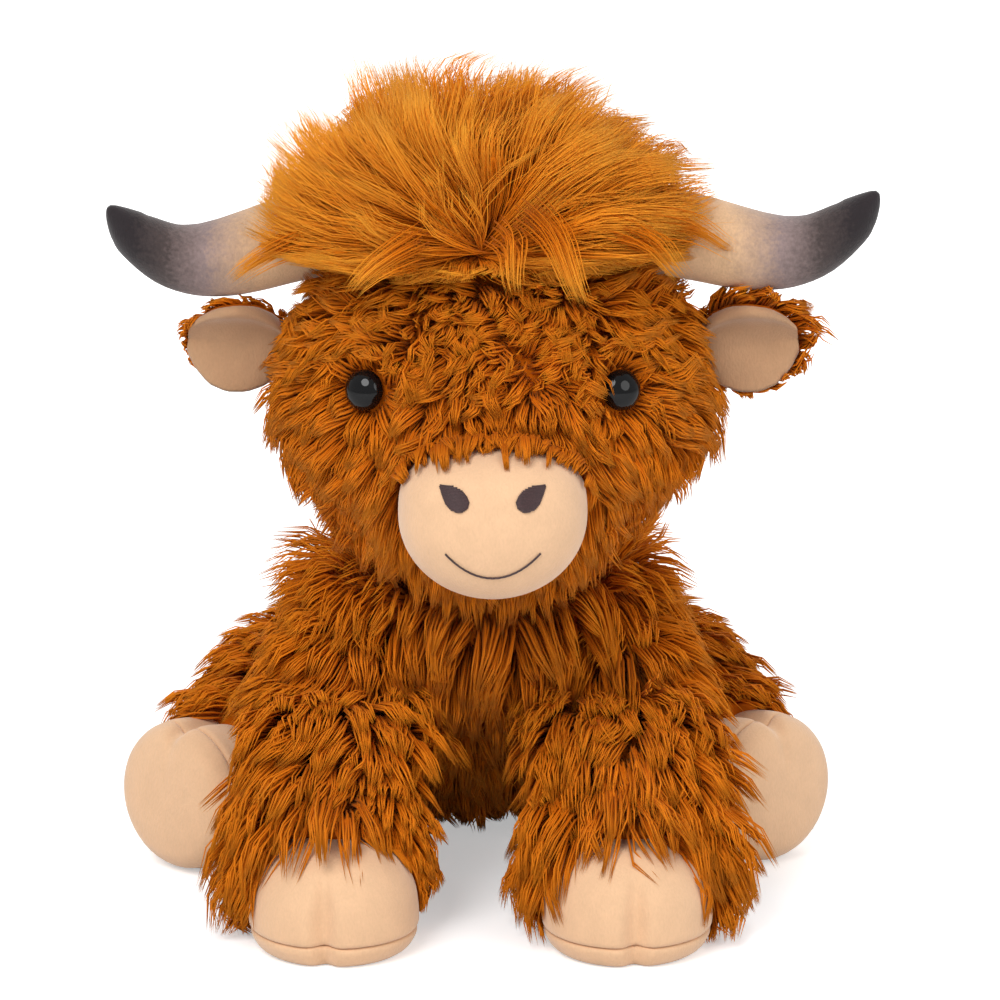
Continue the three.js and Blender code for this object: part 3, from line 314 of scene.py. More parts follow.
def front_leg_form(sign, front_x):
    """A front leg from its hem, which spreads on the floor, to the shoulder's ball in the torso."""
    x, y, z = SHOULDER
    w = LEG_HALF_WIDTH
    stations = [
        (front_x, y - STRIDE - 3, 4, w + SKIRT - 2, w - 6),
        (front_x, y - STRIDE - 3, 7, w + SKIRT + 1, w - 3),
        (front_x, y - STRIDE - 2, 15, w + SKIRT, w - 3), (front_x, y - STRIDE, 30, w + 0.6 * SKIRT, w - 2),
        (front_x, y - 0.87 * STRIDE, z - 32, w, w - 1),
        ((x + front_x) / 2, y - 0.47 * STRIDE, z - 12, w, w - 2), (x, y, z, w - 3, w - 3),
    ]
    stations += dome(SHOULDER, SHOULDER_RADIUS, UP)
    return Form([(sign * x, y, z, a, b) for x, y, z, a, b in stations])


HIP = (53, 48, 46)
HIP_RADIUS = 43
ANKLE_BACK, ANKLE_HEIGHT = 17, 32


def hind_leg_form(sign, hind_foot):
    """A hind leg from the hip's ball in the torso to the ankle behind the hoof."""
    hip = np.array([sign * HIP[0], HIP[1], HIP[2]], float)
    ankle = np.array([hind_foot[0] - sign * ANKLE_BACK, hind_foot[1] + ANKLE_BACK, ANKLE_HEIGHT], float)

    def mix(t):
        return hip + t * (ankle - hip) + np.array([sign * 5, 0, 3]) * math.sin(math.pi * min(t, 1))

    stations = dome(hip, HIP_RADIUS - 2, -unit(ankle - hip))[::-1]
    for t, radius in ((0, HIP_RADIUS - 2), (0.35, HIP_RADIUS - 3), (0.7, 32.3), (0.95, 31), (1.06, 27)):
        stations.append([*mix(t), radius, radius])
    return Form(stations, upright=False, side=(0, 0, 1))


HOOF_HALF = (29, 27)
HOOF_HEIGHT, SOLE_SEAM = 38, 8
HOOF_SHARES = [
    (0, 0.8), (0.07, 0.92), (0.21, 1), (0.42, 1), (0.62, 0.95), (0.8, 0.82), (0.93, 0.62), (1, 0.42),
]


def hoof_ring(height, inset, segments=72):
    """A level ring of a hoof in its own frame: sole on z = 0, toes at -y, with the cleft between the toes."""
    h = height / HOOF_HEIGHT
    rows = np.array(HOOF_SHARES)
    share = Form([(0, 0, x, y, y) for x, y in rows])
    table = np.array([share.at(t) for t in np.linspace(0, 1, 120)])
    size = np.interp(h, table[:, 2], table[:, 3])
    turn = np.arange(segments) * 2 * math.pi / segments - math.pi
    turn = turn - 0.62 * np.sin(turn)
    cleft = 4.4 * math.sin(math.pi * min(1, h + 0.15)) ** 0.6 if h < 0.85 else 0
    dent = cleft * np.exp(-((turn / 0.13) ** 2))
    a = HOOF_HALF[0] * size - inset
    b = HOOF_HALF[1] * size - inset - dent
    return np.stack([a * np.sin(turn), -b * np.cos(turn), np.full(segments, height)], axis=1)


def front_hoof_matrix(sign, front_x, hoof_turn):
    """Place of a front hoof, flat on the floor with its toes forwards."""
    y = SHOULDER[1] - STRIDE - HOOF_HALF[1] + 4
    return Matrix.Translation((sign * front_x, y, 0)) @ Matrix.Rotation(math.radians(hoof_turn), 4, "Z")


def hind_hoof_matrix(sign, hind_foot):
    """Place of a hind hoof, its sole turned forwards and outwards and its rim on the floor."""
    inwards = Vector((-sign * 0.68, 0.72, -0.08)).normalized()
    toes = (Vector(UP) - inwards * inwards.z).normalized()
    basis = Matrix((-toes.cross(inwards), -toes, inwards)).transposed().to_4x4()
    rows = np.array(basis)[:3, :3]
    low = min((hoof_ring(h, 0) @ rows.T)[:, 2].min() for h in np.linspace(0, HOOF_HEIGHT, 20))
    return Matrix.Translation((*hind_foot, -low)) @ basis


def legs_of(side):
    """Front and hind leg of a side, each with its form and its hoof's place."""
    sign, foot = side["sign"], side["hind_foot"]
    hoof = front_hoof_matrix(sign, side["front_x"], side["hoof_turn"])
    return (
        ("front", front_leg_form(sign, side["front_x"]), hoof),
        ("hind", hind_leg_form(sign, foot), hind_hoof_matrix(sign, foot)),
    )


TAIL_ROOT_Z, TAIL_LENGTH, TAIL_RADIUS, TASSEL_RADIUS, TASSEL_LENGTH = 50, 34, 7, 11, 30


def back_at(height):
    """How far back the torso reaches at a height."""
    rows = np.array([torso_form.at(t) for t in np.linspace(0, 1, 400)])
    return np.interp(height, rows[:, 2], rows[:, 1] + rows[:, 4])


TAIL_ROOT_Y = back_at(TAIL_ROOT_Z)
TAIL_CLEAR = back_at(TAIL_ROOT_Z - 0.65 * TAIL_LENGTH) + 1


# Modelling


def bare(obj):
    """Nothing is selected but this object, and it is active."""
    bpy.ops.object.select_all(action="DESELECT")
    obj.select_set(True)
    bpy.context.view_layer.objects.active = obj


def loft(name, rings):
    """A closed skin: circles one over the other are pulled onto the pattern's rings, bridged and capped."""
    count = len(rings[0])
    bpy.ops.object.select_all(action="DESELECT")
    for k, ring in enumerate(rings):
        centre = placed(ring.mean(axis=0))
        radius = np.linalg.norm(ring - ring.mean(axis=0), axis=1).mean() * MM
        bpy.ops.mesh.primitive_circle_add(
            vertices=count, radius=radius, location=centre, enter_editmode=k == 0, fill_type="NOTHING",
        )
        if k == 0:
            obj = bpy.context.object
            obj.name = obj.data.name = name
    bpy.ops.mesh.select_all(action="DESELECT")
    bpy.ops.mesh.select_mode(type="EDGE")
    mesh = bmesh.from_edit_mesh(obj.data)
    mesh.verts.ensure_lookup_table()
    origin = np.array(obj.location)
    for vert, point in zip(mesh.verts, np.concatenate([placed(ring) for ring in rings])):
        vert.co = point - origin
    bmesh.update_edit_mesh(obj.data)
    for k in range(len(rings) - 1):
        bpy.ops.mesh.select_all(action="DESELECT")
        mesh = bmesh.from_edit_mesh(obj.data)
        mesh.verts.ensure_lookup_table()
        for ring in (k, k + 1):
            for j in range(count):
                start = mesh.verts[ring * count + j]
                end = mesh.verts[ring * count + (j + 1) % count]
                mesh.edges.get((start, end)).select = True
        mesh.select_flush_mode()
        bpy.ops.mesh.bridge_edge_loops()
    bpy.ops.mesh.select_all(action="SELECT")
    bpy.ops.mesh.fill_holes(sides=0)
    bpy.ops.mesh.select_all(action="DESELECT")
    bpy.ops.mesh.select_mode(type="FACE")
    mesh = bmesh.from_edit_mesh(obj.data)
    for face in mesh.faces:
        face.select = len(face.verts) > 4
    bpy.ops.mesh.poke()
    bpy.ops.mesh.select_all(action="SELECT")
    bpy.ops.mesh.normals_make_consistent(inside=False)
    bpy.ops.object.mode_set(mode="OBJECT")
    bare(obj)
    bpy.ops.object.transform_apply(location=True, rotation=True, scale=True)
    bpy.ops.object.shade_smooth()
    return obj


def finish_piece(obj, body, material, replaced=()):
    """Material and body of a finished piece, and the frame's parts that it stands in for are hidden."""
    obj.data.materials.clear()
    obj.data.materials.append(material)
    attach(obj, body)
    if replaced:
        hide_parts(*replaced)


# Hair


def scatter(obj, spacing, rng):
    """Points strewn evenly over a skin, with its smooth normals, in pattern millimetres."""
    mesh = obj.data
    mesh.calc_loop_triangles()
    corners = np.empty(len(mesh.loop_triangles) * 3, int)
    mesh.loop_triangles.foreach_get("vertices", corners)
    corners = corners.reshape(-1, 3)
    co = np.empty(len(mesh.vertices) * 3)
    mesh.vertices.foreach_get("co", co)
    co = in_pattern(co.reshape(-1, 3))
    normal = np.empty(len(mesh.vertices) * 3)
    mesh.vertices.foreach_get("normal", normal)
    normal = normal.reshape(-1, 3)
    a, b, c = (co[corners[:, k]] for k in range(3))
    area = np.linalg.norm(np.cross(b - a, c - a), axis=1) / 2
    count = int(3 * area.sum() / spacing**2)
    pick = rng.choice(len(area), count, p=area / area.sum())
    u, v = np.sqrt(rng.random(count)), rng.random(count)
    shares = np.stack([1 - u, u * (1 - v), u * v], axis=1)
    point = (co[corners[pick]] * shares[:, :, None]).sum(axis=1)
    normal = unit((normal[corners[pick]] * shares[:, :, None]).sum(axis=1))
    cells = np.floor(point / spacing).astype(int)
    _, first = np.unique(cells, axis=0, return_index=True)
    first.sort()
    return point[first], normal[first]


def nearest(points, heads):
    """Index of the nearest head for each point."""
    found = np.empty(len(points), int)
    for start in range(0, len(points), 2000):
        part = points[start : start + 2000]
        gap = (part**2).sum(1)[:, None] - 2 * part @ heads.T + (heads**2).sum(1)[None]
        found[start : start + 2000] = gap.argmin(axis=1)
    return found


def turned(vectors, axes, angles):
    """Vectors turned about unit axes."""
    c, s = np.cos(angles)[:, None], np.sin(angles)[:, None]
    return vectors * c + np.cross(axes, vectors) * s + axes * (axes * vectors).sum(1, keepdims=True) * (1 - c)


def gathered(paths, heads, owner, gather):
    """Each lock drawn towards the leading lock of its tuft, the more the nearer to its tip."""
    lead = paths[heads][owner]
    share = np.linspace(0, 1, paths.shape[1])[None, :, None]
    return lead + (paths - lead) * (1 - gather * share**1.3)


def tufts(points, size, rng):
    """Leading points of tufts of about so many locks, and the tuft that each point belongs to."""
    heads = rng.choice(len(points), max(1, len(points) // size), replace=False)
    return heads, nearest(points, points[heads])


def shared(rng, spread, owner):
    """One random value for each tuft, handed on to its locks."""
    return rng.normal(0, spread, owner.max() + 1)[owner]


# Steps of a lock's path, and how unevenly locks lie, in degrees, and grow, as a share of their length
LOCK_STEPS, JITTER, UNEVEN = 3, 8, 0.12
# Full length of the locks of a part, and their distance as a share of the lock spacing
LOCK_LENGTH = {"torso": 22, "head": 16, "front": 24, "hind": 20, "tail": 11}
CROWDING = {"torso": 0.84, "head": 0.56, "front": 0.68, "hind": 0.82}


def ease(values, start, span):
    """0 up to a start, 1 from a span further on, and even between them."""
    return np.clip((values - start) / span, 0, 1)


def swell(values, middle, span):
    """1 at a middle, fading over a span to either side."""
    return np.exp(-(((values - middle) / span) ** 2))


def pile_paths(root, normal, flow, length, rng, ground, lift=(60, 10), tuft=9, swirl=11, gather=0.6, wave=0.8,
               sag=0.1):
    """Paths of a combed pile that follows its ground, in tufts and larger patches, and each lock's shade."""
    count = len(root)
    heads, owner = tufts(root, tuft, rng)
    _, patch = tufts(root, 9 * tuft, rng)
    flow = unit(flow - normal * (flow * normal).sum(1, keepdims=True) + 1e-3)
    turn = shared(rng, 1, owner) * 0.8 + shared(rng, 1, patch)
    flow = turned(flow, normal, np.radians(turn * swirl + rng.normal(0, JITTER, count)))
    size = 1 + shared(rng, UNEVEN, owner) + shared(rng, 0.5 * UNEVEN, patch)
    size = length * np.clip(size + rng.normal(0, 0.5 * UNEVEN, count), 0.5, 1.4)
    tilt = shared(rng, 6, owner) + shared(rng, 4, patch) + rng.normal(0, 4, count)
    paths = [root - normal * 0.6]
    for k in range(LOCK_STEPS):
        share = (k + 0.5) / LOCK_STEPS
        up = normal if k == 0 else ground[1][nearest(paths[-1], ground[0])]
        along = unit(flow - up * (flow * up).sum(1, keepdims=True))
        angle = np.radians(lift[0] + (lift[1] - lift[0]) * share + tilt)[:, None]
        step = unit(up * np.sin(angle) + along * np.cos(angle) - UP * sag * share)
        paths.append(paths[-1] + step * (size / LOCK_STEPS)[:, None])
    paths = gathered(np.stack(paths, axis=1), heads, owner, gather)
    share = np.linspace(0, 1, LOCK_STEPS + 1)
    phase = rng.random(len(heads))[owner] + 0.15 * rng.random(count)
    wave = np.broadcast_to(wave, (count,))[:, None]
    sway = wave * share[None] * np.sin(2 * math.pi * (1.1 * share[None] + phase[:, None]))
    paths = paths + np.cross(normal, flow)[:, None] * sway[:, :, None]
    shade = 0.5 + shared(rng, 0.12, owner) + shared(rng, 0.06, patch) + rng.normal(0, 0.13, count)
    return paths, np.clip(shade, 0.02, 0.98)


def lock_faces(steps):
    """Corner indices of one closed, three-sided lock: its sides, its tip and its root cap."""
    faces = []
    for k in range(steps - 1):
        for i in range(3):
            j = (i + 1) % 3
            faces.append((3 * k + i, 3 * k + j, 3 * k + 3 + j, 3 * k + 3 + i))
    last = 3 * (steps - 1)
    faces += [(last, last + 1, 3 * steps), (last + 1, last + 2, 3 * steps), (last + 2, last, 3 * steps)]
    faces.append((0, 2, 1))
    return faces


# Height at which locks lie on the floor, the height over which they bend, and a lock's ridge in half widths
FLOOR_CLEAR, FLOOR_BEND, RIDGE = 1.2, 3, 1.2


def skin_arrays(skin):
    """Vertices, corners, face sizes and corners' (u, v) of the skin that locks grow from."""
    data = skin.data
    co = np.empty(len(data.vertices) * 3)
    data.vertices.foreach_get("co", co)
    co = co.reshape(-1, 3)
    loops = np.empty(len(data.loops), int)
    data.loops.foreach_get("vertex_index", loops)
    sizes = np.empty(len(data.polygons), int)
    data.polygons.foreach_get("loop_total", sizes)
    at = ((co - co.min(axis=0)) / np.ptp(co, axis=0))[loops]
    bpy.data.objects.remove(skin)
    return co, loops, sizes, np.stack([0.1 + 0.8 * at[:, 0], 0.04 + 0.1 * at[:, 2]], axis=1)


def hair_mesh(name, paths, normal, shade, half_width, skin=None):
    """One mesh of closed, tapered locks along paths, with the skin that they grow from."""
    count, points, _ = paths.shape
    steps = points - 1
    paths = paths.copy()
    over = paths[:, :, 2] - FLOOR_CLEAR - FLOOR_BEND
    laid = FLOOR_CLEAR + FLOOR_BEND * np.exp(over / FLOOR_BEND)
    paths[:, :, 2] = np.where(paths[:, :, 2] < FLOOR_CLEAR + FLOOR_BEND, laid, paths[:, :, 2])
    share = np.linspace(0, 1, points)
    along = unit(np.gradient(paths, axis=1))
    up = unit(normal[:, None] - along * (normal[:, None] * along).sum(2, keepdims=True))
    side = np.cross(up, along)
    width = np.asarray(half_width, float) * np.ones(count)
    width = width[:, None] * (0.8 + 0.9 * share - 1.7 * share**2.2)[None]
    width = np.maximum(width, 0.05)[:, :, None]
    rings = np.stack([paths - side * width, paths + side * width, paths + up * width * RIDGE], axis=2)
    verts = np.concatenate([rings[:, :steps].reshape(count, 3 * steps, 3), paths[:, -1:]], axis=1)
    faces = lock_faces(steps)
    per_lock = 3 * steps + 1
    corner = np.array([i for face in faces for i in face])
    loops = (corner[None] + per_lock * np.arange(count)[:, None]).ravel()
    sizes = np.tile([len(face) for face in faces], count)
    across = np.append(np.tile([-0.01, 0.01, 0.0], steps), 0.0)
    level = np.append(np.repeat(share[:steps], 3), 1.0)
    uv = np.stack([
        (shade[:, None] + across[corner][None]).ravel(),
        np.broadcast_to(level[corner], (count, len(corner))).ravel(),
    ], axis=1)
    parts = [(placed(verts.reshape(-1, 3)), loops, sizes, uv)]
    if skin is not None:
        co, skin_loops, skin_sizes, skin_uv = skin_arrays(skin)
        parts.append((co, skin_loops + count * per_lock, skin_sizes, skin_uv))
    verts, loops, sizes, uv = (np.concatenate(part) for part in zip(*parts))
    mesh = bpy.data.meshes.new(name)
    mesh.vertices.add(len(verts))
    mesh.vertices.foreach_set("co", verts.astype(np.float32).ravel())
    mesh.loops.add(len(loops))
    mesh.loops.foreach_set("vertex_index", loops.astype(np.int32))
    mesh.polygons.add(len(sizes))
    mesh.polygons.foreach_set("loop_start", (np.cumsum(sizes) - sizes).astype(np.int32))
    mesh.polygons.foreach_set("loop_total", sizes.astype(np.int32))
    mesh.polygons.foreach_set("use_smooth", np.ones(len(sizes), bool))
    layer = mesh.uv_layers.new(name="OFBake")
    layer.uv.foreach_set("vector", np.clip(uv, 0, 1).astype(np.float32).ravel())
    mesh.update(calc_edges=True)
    mesh.validate()
    obj = bpy.data.objects.new(name, mesh)
    bpy.context.scene.collection.objects.link(obj)
    return obj


# Materials


def feed(tree, socket, value):
    """Fills a socket from another node's output or with a plain value."""
    if isinstance(value, bpy.types.NodeSocket):
        tree.links.new(value, socket)
    else:
        socket.default_value = (*value, 1) if socket.type == "RGBA" else value


def add_node(tree, kind, inputs=(), output=0, **settings):
    """Adds a shader node, sets it, feeds its inputs and returns one of its outputs."""
    node = tree.nodes.new("ShaderNode" + kind)
    for label, value in settings.items():
        setattr(node, label, value)
    for label, value in dict(inputs).items():
        feed(tree, node.inputs[label], value)
    return node.outputs[output]


def object_place(tree):
    return add_node(tree, "TexCoord", output="Object")


def split(tree, vector):
    """The x, y and z of a vector."""
    node = tree.nodes.new("ShaderNodeSeparateXYZ")
    tree.links.new(vector, node.inputs[0])
    return list(node.outputs)


def maths(tree, operation, *terms):
    return add_node(tree, "Math", dict(enumerate(terms)), operation=operation)


def mix(tree, factor, start, end, blend="MIX"):
    return add_node(tree, "Mix", {0: factor, 6: start, 7: end}, 2, data_type="RGBA", blend_type=blend)


def noise(tree, place, scale, detail=2):
    return add_node(tree, "TexNoise", {"Vector": place, "Scale": scale, "Detail": detail}, "Fac")


def ramp(tree, factor, stops):
    """Colour along a ramp of positions and colours."""
    node = tree.nodes.new("ShaderNodeValToRGB")
    elements = node.color_ramp.elements
    while len(elements) < len(stops):
        elements.new(0.5)
    for element, (position, colour) in zip(elements, stops):
        element.position = position
        element.color = (*colour[:3], 1)
    tree.links.new(factor, node.inputs[0])
    return node.outputs[0]


def effect_group(name, inputs, outputs):
    """An empty node group with named sockets, with its first and last node."""
    tree = bpy.data.node_groups.new(name, "ShaderNodeTree")
    for label, kind, value in inputs:
        socket = tree.interface.new_socket(label, in_out="INPUT", socket_type=kind)
        socket.default_value = value
    for label, kind in outputs:
        tree.interface.new_socket(label, in_out="OUTPUT", socket_type=kind)
    return tree, tree.nodes.new("NodeGroupInput"), tree.nodes.new("NodeGroupOutput")


def group_node(tree, group, **inputs):
    """Places a node group in a material with its own values."""
    node = tree.nodes.new("ShaderNodeGroup")
    node.node_tree = group
    for label, value in inputs.items():
        feed(tree, node.inputs[label], value)
    return node.outputs


def lock_shade_group():
    """Colour of a lock from its own shade and the way from its root to its tip: painted shade at the root, a
    painted highlight at the tip.
    """
    colour, black = "NodeSocketColor", (0, 0, 0, 1)
    labels = ("Root", "Middle", "Tip", "Dark", "Light")
    tree, start, end = effect_group(
        "Lock Shade", [(label, colour, black) for label in labels], [("Colour", colour)],
    )
    root, middle, tip, dark, light = (start.outputs[label] for label in labels)
    shade, along, _ = split(tree, add_node(tree, "UVMap", uv_map="OFBake"))
    # Root to middle: painted shade deep in the pile; middle to tip: painted highlight on the tips
    lower = add_node(tree, "MapRange", {"Value": along, "From Max": 0.5})
    upper = add_node(tree, "MapRange", {"Value": along, "From Min": 0.45})
    body = mix(tree, upper, mix(tree, lower, root, middle), tip)
    tone = mix(tree, shade, dark, light)
    feed(tree, end.inputs["Colour"], mix(tree, 1, body, tone, "MULTIPLY"))
    return tree


def nap_group():
    """Short brushed pile: fine strokes and soft mottling in colour, and their relief."""
    tree, start, end = effect_group(
        "Brushed Nap",
        [("Colour", "NodeSocketColor", (1, 1, 1, 1)), ("Mottle", "NodeSocketFloat", 0.1),
         ("Depth", "NodeSocketFloat", 0.1)],
        [("Colour", "NodeSocketColor"), ("Normal", "NodeSocketVector")],
    )
    colour, mottle, depth = (start.outputs[label] for label in ("Colour", "Mottle", "Depth"))
    place = object_place(tree)
    brushed = add_node(tree, "Mapping", {"Vector": place, "Scale": (1, 1, 0.45)})
    both = maths(tree, "ADD", noise(tree, brushed, 1500, 3), noise(tree, place, 120, 4))
    spread = add_node(tree, "MapRange", {"Value": both, "From Min": 0.7, "From Max": 1.3, "To Min": -1})
    level = maths(tree, "ADD", maths(tree, "MULTIPLY", spread, mottle), 1)
    tint = add_node(tree, "VectorMath", {0: colour, "Scale": level}, operation="SCALE")
    relief = add_node(tree, "Bump", {"Strength": depth, "Distance": 0.0006, "Height": both})
    feed(tree, end.inputs["Colour"], tint)
    feed(tree, end.inputs["Normal"], relief)
    return tree


def new_material(name, roughness, specular, sheen=0.0, tint=(1, 1, 1)):
    """A material with its finish, its node tree and its shader's inputs."""
    material = bpy.data.materials.new(name)
    material.use_nodes = True
    tree = material.node_tree
    sockets = tree.nodes["Principled BSDF"].inputs
    finish = {
        "Roughness": roughness, "Specular IOR Level": specular, "Specular Tint": tint,
        "Sheen Weight": sheen, "Sheen Roughness": 0.5, "Sheen Tint": tint,
    }
    for label, value in finish.items():
        feed(tree, sockets[label], value)
    return material, tree, sockets


# Range of a lock's own shade, and the root colour darkened as painted shade deep in the pile
LOCK_DARK, LOCK_LIGHT, LOCK_ROOT_PAINTED_SHADE = (0.8, 0.77, 0.74), (1.2, 1.23, 1.26), (0.72, 0.6, 0.5)


def hair_material(name, colour, tip, group):
    """Locks of pile or hair, each of its own shade, darker at the root with painted shade and lighter at the
    tip with a painted highlight.
    """
    material, tree, sockets = new_material(name, 0.7, 0.14, sheen=0.12, tint=(1, 0.5, 0.16))
    colour = np.array(colour)
    shade = group_node(
        tree, group, Root=colour * LOCK_ROOT_PAINTED_SHADE, Middle=colour, Tip=colour * tip, Dark=LOCK_DARK,
        Light=LOCK_LIGHT,
    )
    feed(tree, sockets["Base Color"], shade["Colour"])
    return material


def lay_nap(tree, sockets, group, colour, mottle, depth):
    """Gives a material the brushed nap in its colour and relief."""
    nap = group_node(tree, group, Colour=colour, Mottle=mottle, Depth=depth)
    feed(tree, sockets["Base Color"], nap["Colour"])
    feed(tree, sockets["Normal"], nap["Normal"])


def nap_material(name, colour, mottle, depth, group):
    """Short pile fabric of one colour."""
    material, tree, sockets = new_material(name, 0.85, 0.2, sheen=0.35)
    lay_nap(tree, sockets, group, colour, mottle, depth)
    return material


def horn_material(name, cream, mauve, dark, group):
    """Airbrushed from cream at the root over a greyed mauve to near black at the tip."""
    material, tree, sockets = new_material(name, 0.85, 0.2, sheen=0.3)
    place = object_place(tree)
    middle = float(placed([HEAD_X, 0, 0])[0])
    reach = maths(tree, "ABSOLUTE", maths(tree, "SUBTRACT", split(tree, place)[0], middle))
    blur = maths(tree, "MULTIPLY_ADD", noise(tree, place, 700, 4), 0.012, -0.006)
    worn = maths(tree, "ADD", reach, blur)
    share = add_node(tree, "MapRange", {"Value": worn, "From Min": 0.075, "From Max": 0.13})
    stops = [(0.08, cream), (0.42, mauve), (0.66, np.array(mauve) * 0.25), (0.85, dark)]
    lay_nap(tree, sockets, group, ramp(tree, share, stops), 0.12, 0.35)
    return material


def wavering(tree, scale, colour, *stops):
    """A colour that wavers over the surface between tones of itself."""
    tones = [(position, np.array(colour) * factor) for position, factor in stops]
    return ramp(tree, noise(tree, object_place(tree), scale), tones)


def thread_material(name, colour):
    """Twisted embroidery thread."""
    material, tree, sockets = new_material(name, 0.5, 0.4, sheen=0.2)
    feed(tree, sockets["Base Color"], wavering(tree, 2500, colour, (0.3, 0.6), (0.7, 1.5)))
    return material


def gloss_material(name, colour, roughness, coat, specular):
    """Polished or moulded plastic with the faint waviness of a moulding."""
    material, tree, sockets = new_material(name, roughness, specular)
    feed(tree, sockets["Coat Weight"], coat)
    feed(tree, sockets["Coat Roughness"], 0.03)
    feed(tree, sockets["Base Color"], wavering(tree, 300, colour, (0.35, 0.8), (0.65, 1.2)))
    return material


def floor_material():
    """Pale floor that glows to the camera alone, and more far behind, where the picture turns white."""
    material, tree, sockets = new_material("Pale floor", 0.9, 0.5)
    seen = add_node(tree, "LightPath", output="Is Camera Ray")
    behind = {"Value": split(tree, object_place(tree))[1], "From Min": 0.2, "From Max": 1.2}
    glow = add_node(tree, "MapRange", {**behind, "To Min": 0.42, "To Max": 0.8})
    feed(tree, sockets["Base Color"], (0.86, 0.86, 0.86))
    feed(tree, sockets["Emission Color"], (1, 1, 1))
    feed(tree, sockets["Emission Strength"], maths(tree, "MULTIPLY", seen, glow))
    return material


MATERIALS = {}


class CowColours(bpy.types.PropertyGroup):
    """Colours of the fabrics, as linear light, the ear lining darkened with painted shade."""

    fur: FloatVectorProperty(
        name="Body fur", description="Middle of a lock of the body's pile", subtype="COLOR",
        default=(0.56, 0.132, 0.004),
    )
    hair: FloatVectorProperty(
        name="Forelock", description="Middle of a lock of the long hair", subtype="COLOR",
        default=(0.64, 0.165, 0.004),
    )
    short_pile: FloatVectorProperty(
        name="Short pile", description="Muzzle and hooves", subtype="COLOR", default=(0.72, 0.455, 0.27),
    )
    # The short pile darkened: painted shade from the ear's cup and the fur over it
    lining: FloatVectorProperty(
        name="Ear lining", description="Pile inside the ears", subtype="COLOR", default=(0.42, 0.24, 0.13),
    )
    horn_root: FloatVectorProperty(
        name="Horn root", description="Horn fabric near the head", subtype="COLOR",
        default=(0.62, 0.395, 0.225),
    )
    horn_tip: FloatVectorProperty(
        name="Horn tip", description="Airbrushed end of the horns", subtype="COLOR",
        default=(0.018, 0.013, 0.015),
    )
    thread: FloatVectorProperty(
        name="Thread", description="Embroidery thread", subtype="COLOR", default=(0.040, 0.016, 0.017),
    )


class CowSizes(bpy.types.PropertyGroup):
    """Sizes of the pile and the stitching."""

    pile: FloatProperty(
        name="Pile height", description="Height of the body pile over its backing", default=0.0125,
        unit="LENGTH",
    )
    lock_spacing: FloatProperty(
        name="Lock spacing", description="Distance between the roots of the body's locks", default=0.0019,
        unit="LENGTH",
    )
    lock_width: FloatProperty(
        name="Lock width", description="Half the width of a body lock", default=0.0005, unit="LENGTH",
    )
    stitch: FloatProperty(
        name="Stitch", description="Thickness of the embroidery thread", default=0.0007, unit="LENGTH",
    )


def sizes():
    """The sizes that the panel shows."""
    return bpy.context.scene.cow_sizes


def pile_sizes():
    """Pile height, distance between locks and half a lock's width, in pattern millimetres."""
    return sizes().pile / MM, sizes().lock_spacing / MM, sizes().lock_width / MM


class CowPieceOperator(bpy.types.Operator):
    """Base of the operators that make the cow's pieces."""

    bl_options = {"REGISTER", "UNDO"}


class MATERIAL_OT_cow_fabrics(CowPieceOperator):
    """Makes the materials and finishes the inner parts that the frame shows"""

    bl_idname = "material.cow_fabrics"
    bl_label = "Fabrics"

    def execute(self, context):
        colours = context.scene.cow_colours
        locks, nap = lock_shade_group(), nap_group()
        MATERIALS.update(
            # Tip factors paint a highlight on the lock tips; the roots carry painted shade
            fur=hair_material("Body fur", colours.fur, (1.3, 1.75, 3.5), locks),
            hair=hair_material("Long hair", colours.hair, (1.5, 2.5, 9), locks),
            peach=nap_material("Short peach pile", colours.short_pile, 0.05, 0.4, nap),
            # Ear lining: the short pile's nap in a darker colour, painted shade
            lining=nap_material("Ear lining pile", colours.lining, 0.07, 0.4, nap),
            horn=horn_material(
                "Airbrushed horn", colours.horn_root, (0.235, 0.172, 0.165), colours.horn_tip, nap,
            ),
            thread=thread_material("Embroidery thread", colours.thread),
            eye=gloss_material("Polished eye", (0.003, 0.003, 0.0035), 0.06, 0.2, 0.2),
            washer=gloss_material("Moulded washer", (0.75, 0.75, 0.73), 0.45, 0.0, 0.5),
        )
        for name in SIDES:
            washer = frame["nodes"][f"eye_washer_{name}"]
            washer.data.materials.clear()
            washer.data.materials.append(MATERIALS["washer"])
        return {"FINISHED"}


def head_flow(points):
    """The way the head's pile is combed: down, and outwards over the cheeks."""
    x, z = points[:, 0] - HEAD_X, points[:, 2]
    outwards = x / 60 * (1 + 0.7 * swell(z, 190, 22)) * ease(z, 112, 36) * (1 - 0.6 * swell(z, 146, 16))
    return np.stack([outwards, 0.4 * ease(points[:, 1], -60, 60), -np.ones(len(points))], axis=1)


def head_comb(root, eyes):
    """Way, length, lift and brow share of the head's locks, which part round the eyes."""
    x, z = root[:, 0] - HEAD_X, root[:, 2]
    in_front = root[:, 1] < SKULL_Y
    brow = ease(z, 185, 25) * in_front
    rim = swell(muzzle_share(x, z - MUZZLE_Z), 1, 0.2) * in_front
    jowl = swell(z, 146, 22) * np.where(x > 0, 1, 0.6) * ease(np.abs(x), 0, 50) ** 2
    length = LOCK_LENGTH["head"] - 2.5 * brow + 4 * ease(np.abs(x), 0, 55) + 4 * ease(z, 190, -50)
    length = length * (1 - 0.25 * jowl)
    lift = 60 + 14 * rim - 26 * jowl, 10 + 22 * brow + 38 * rim - 8 * jowl
    flow = head_flow(root)
    for point, _ in eyes:
        away = root - point
        near = swell(np.linalg.norm(away, axis=1), 0, 13)[:, None]
        flow = flow * (1 - near) + unit(away) * near * 2
        length = length * (1 - 0.5 * near[:, 0])
    return flow, length, lift, brow


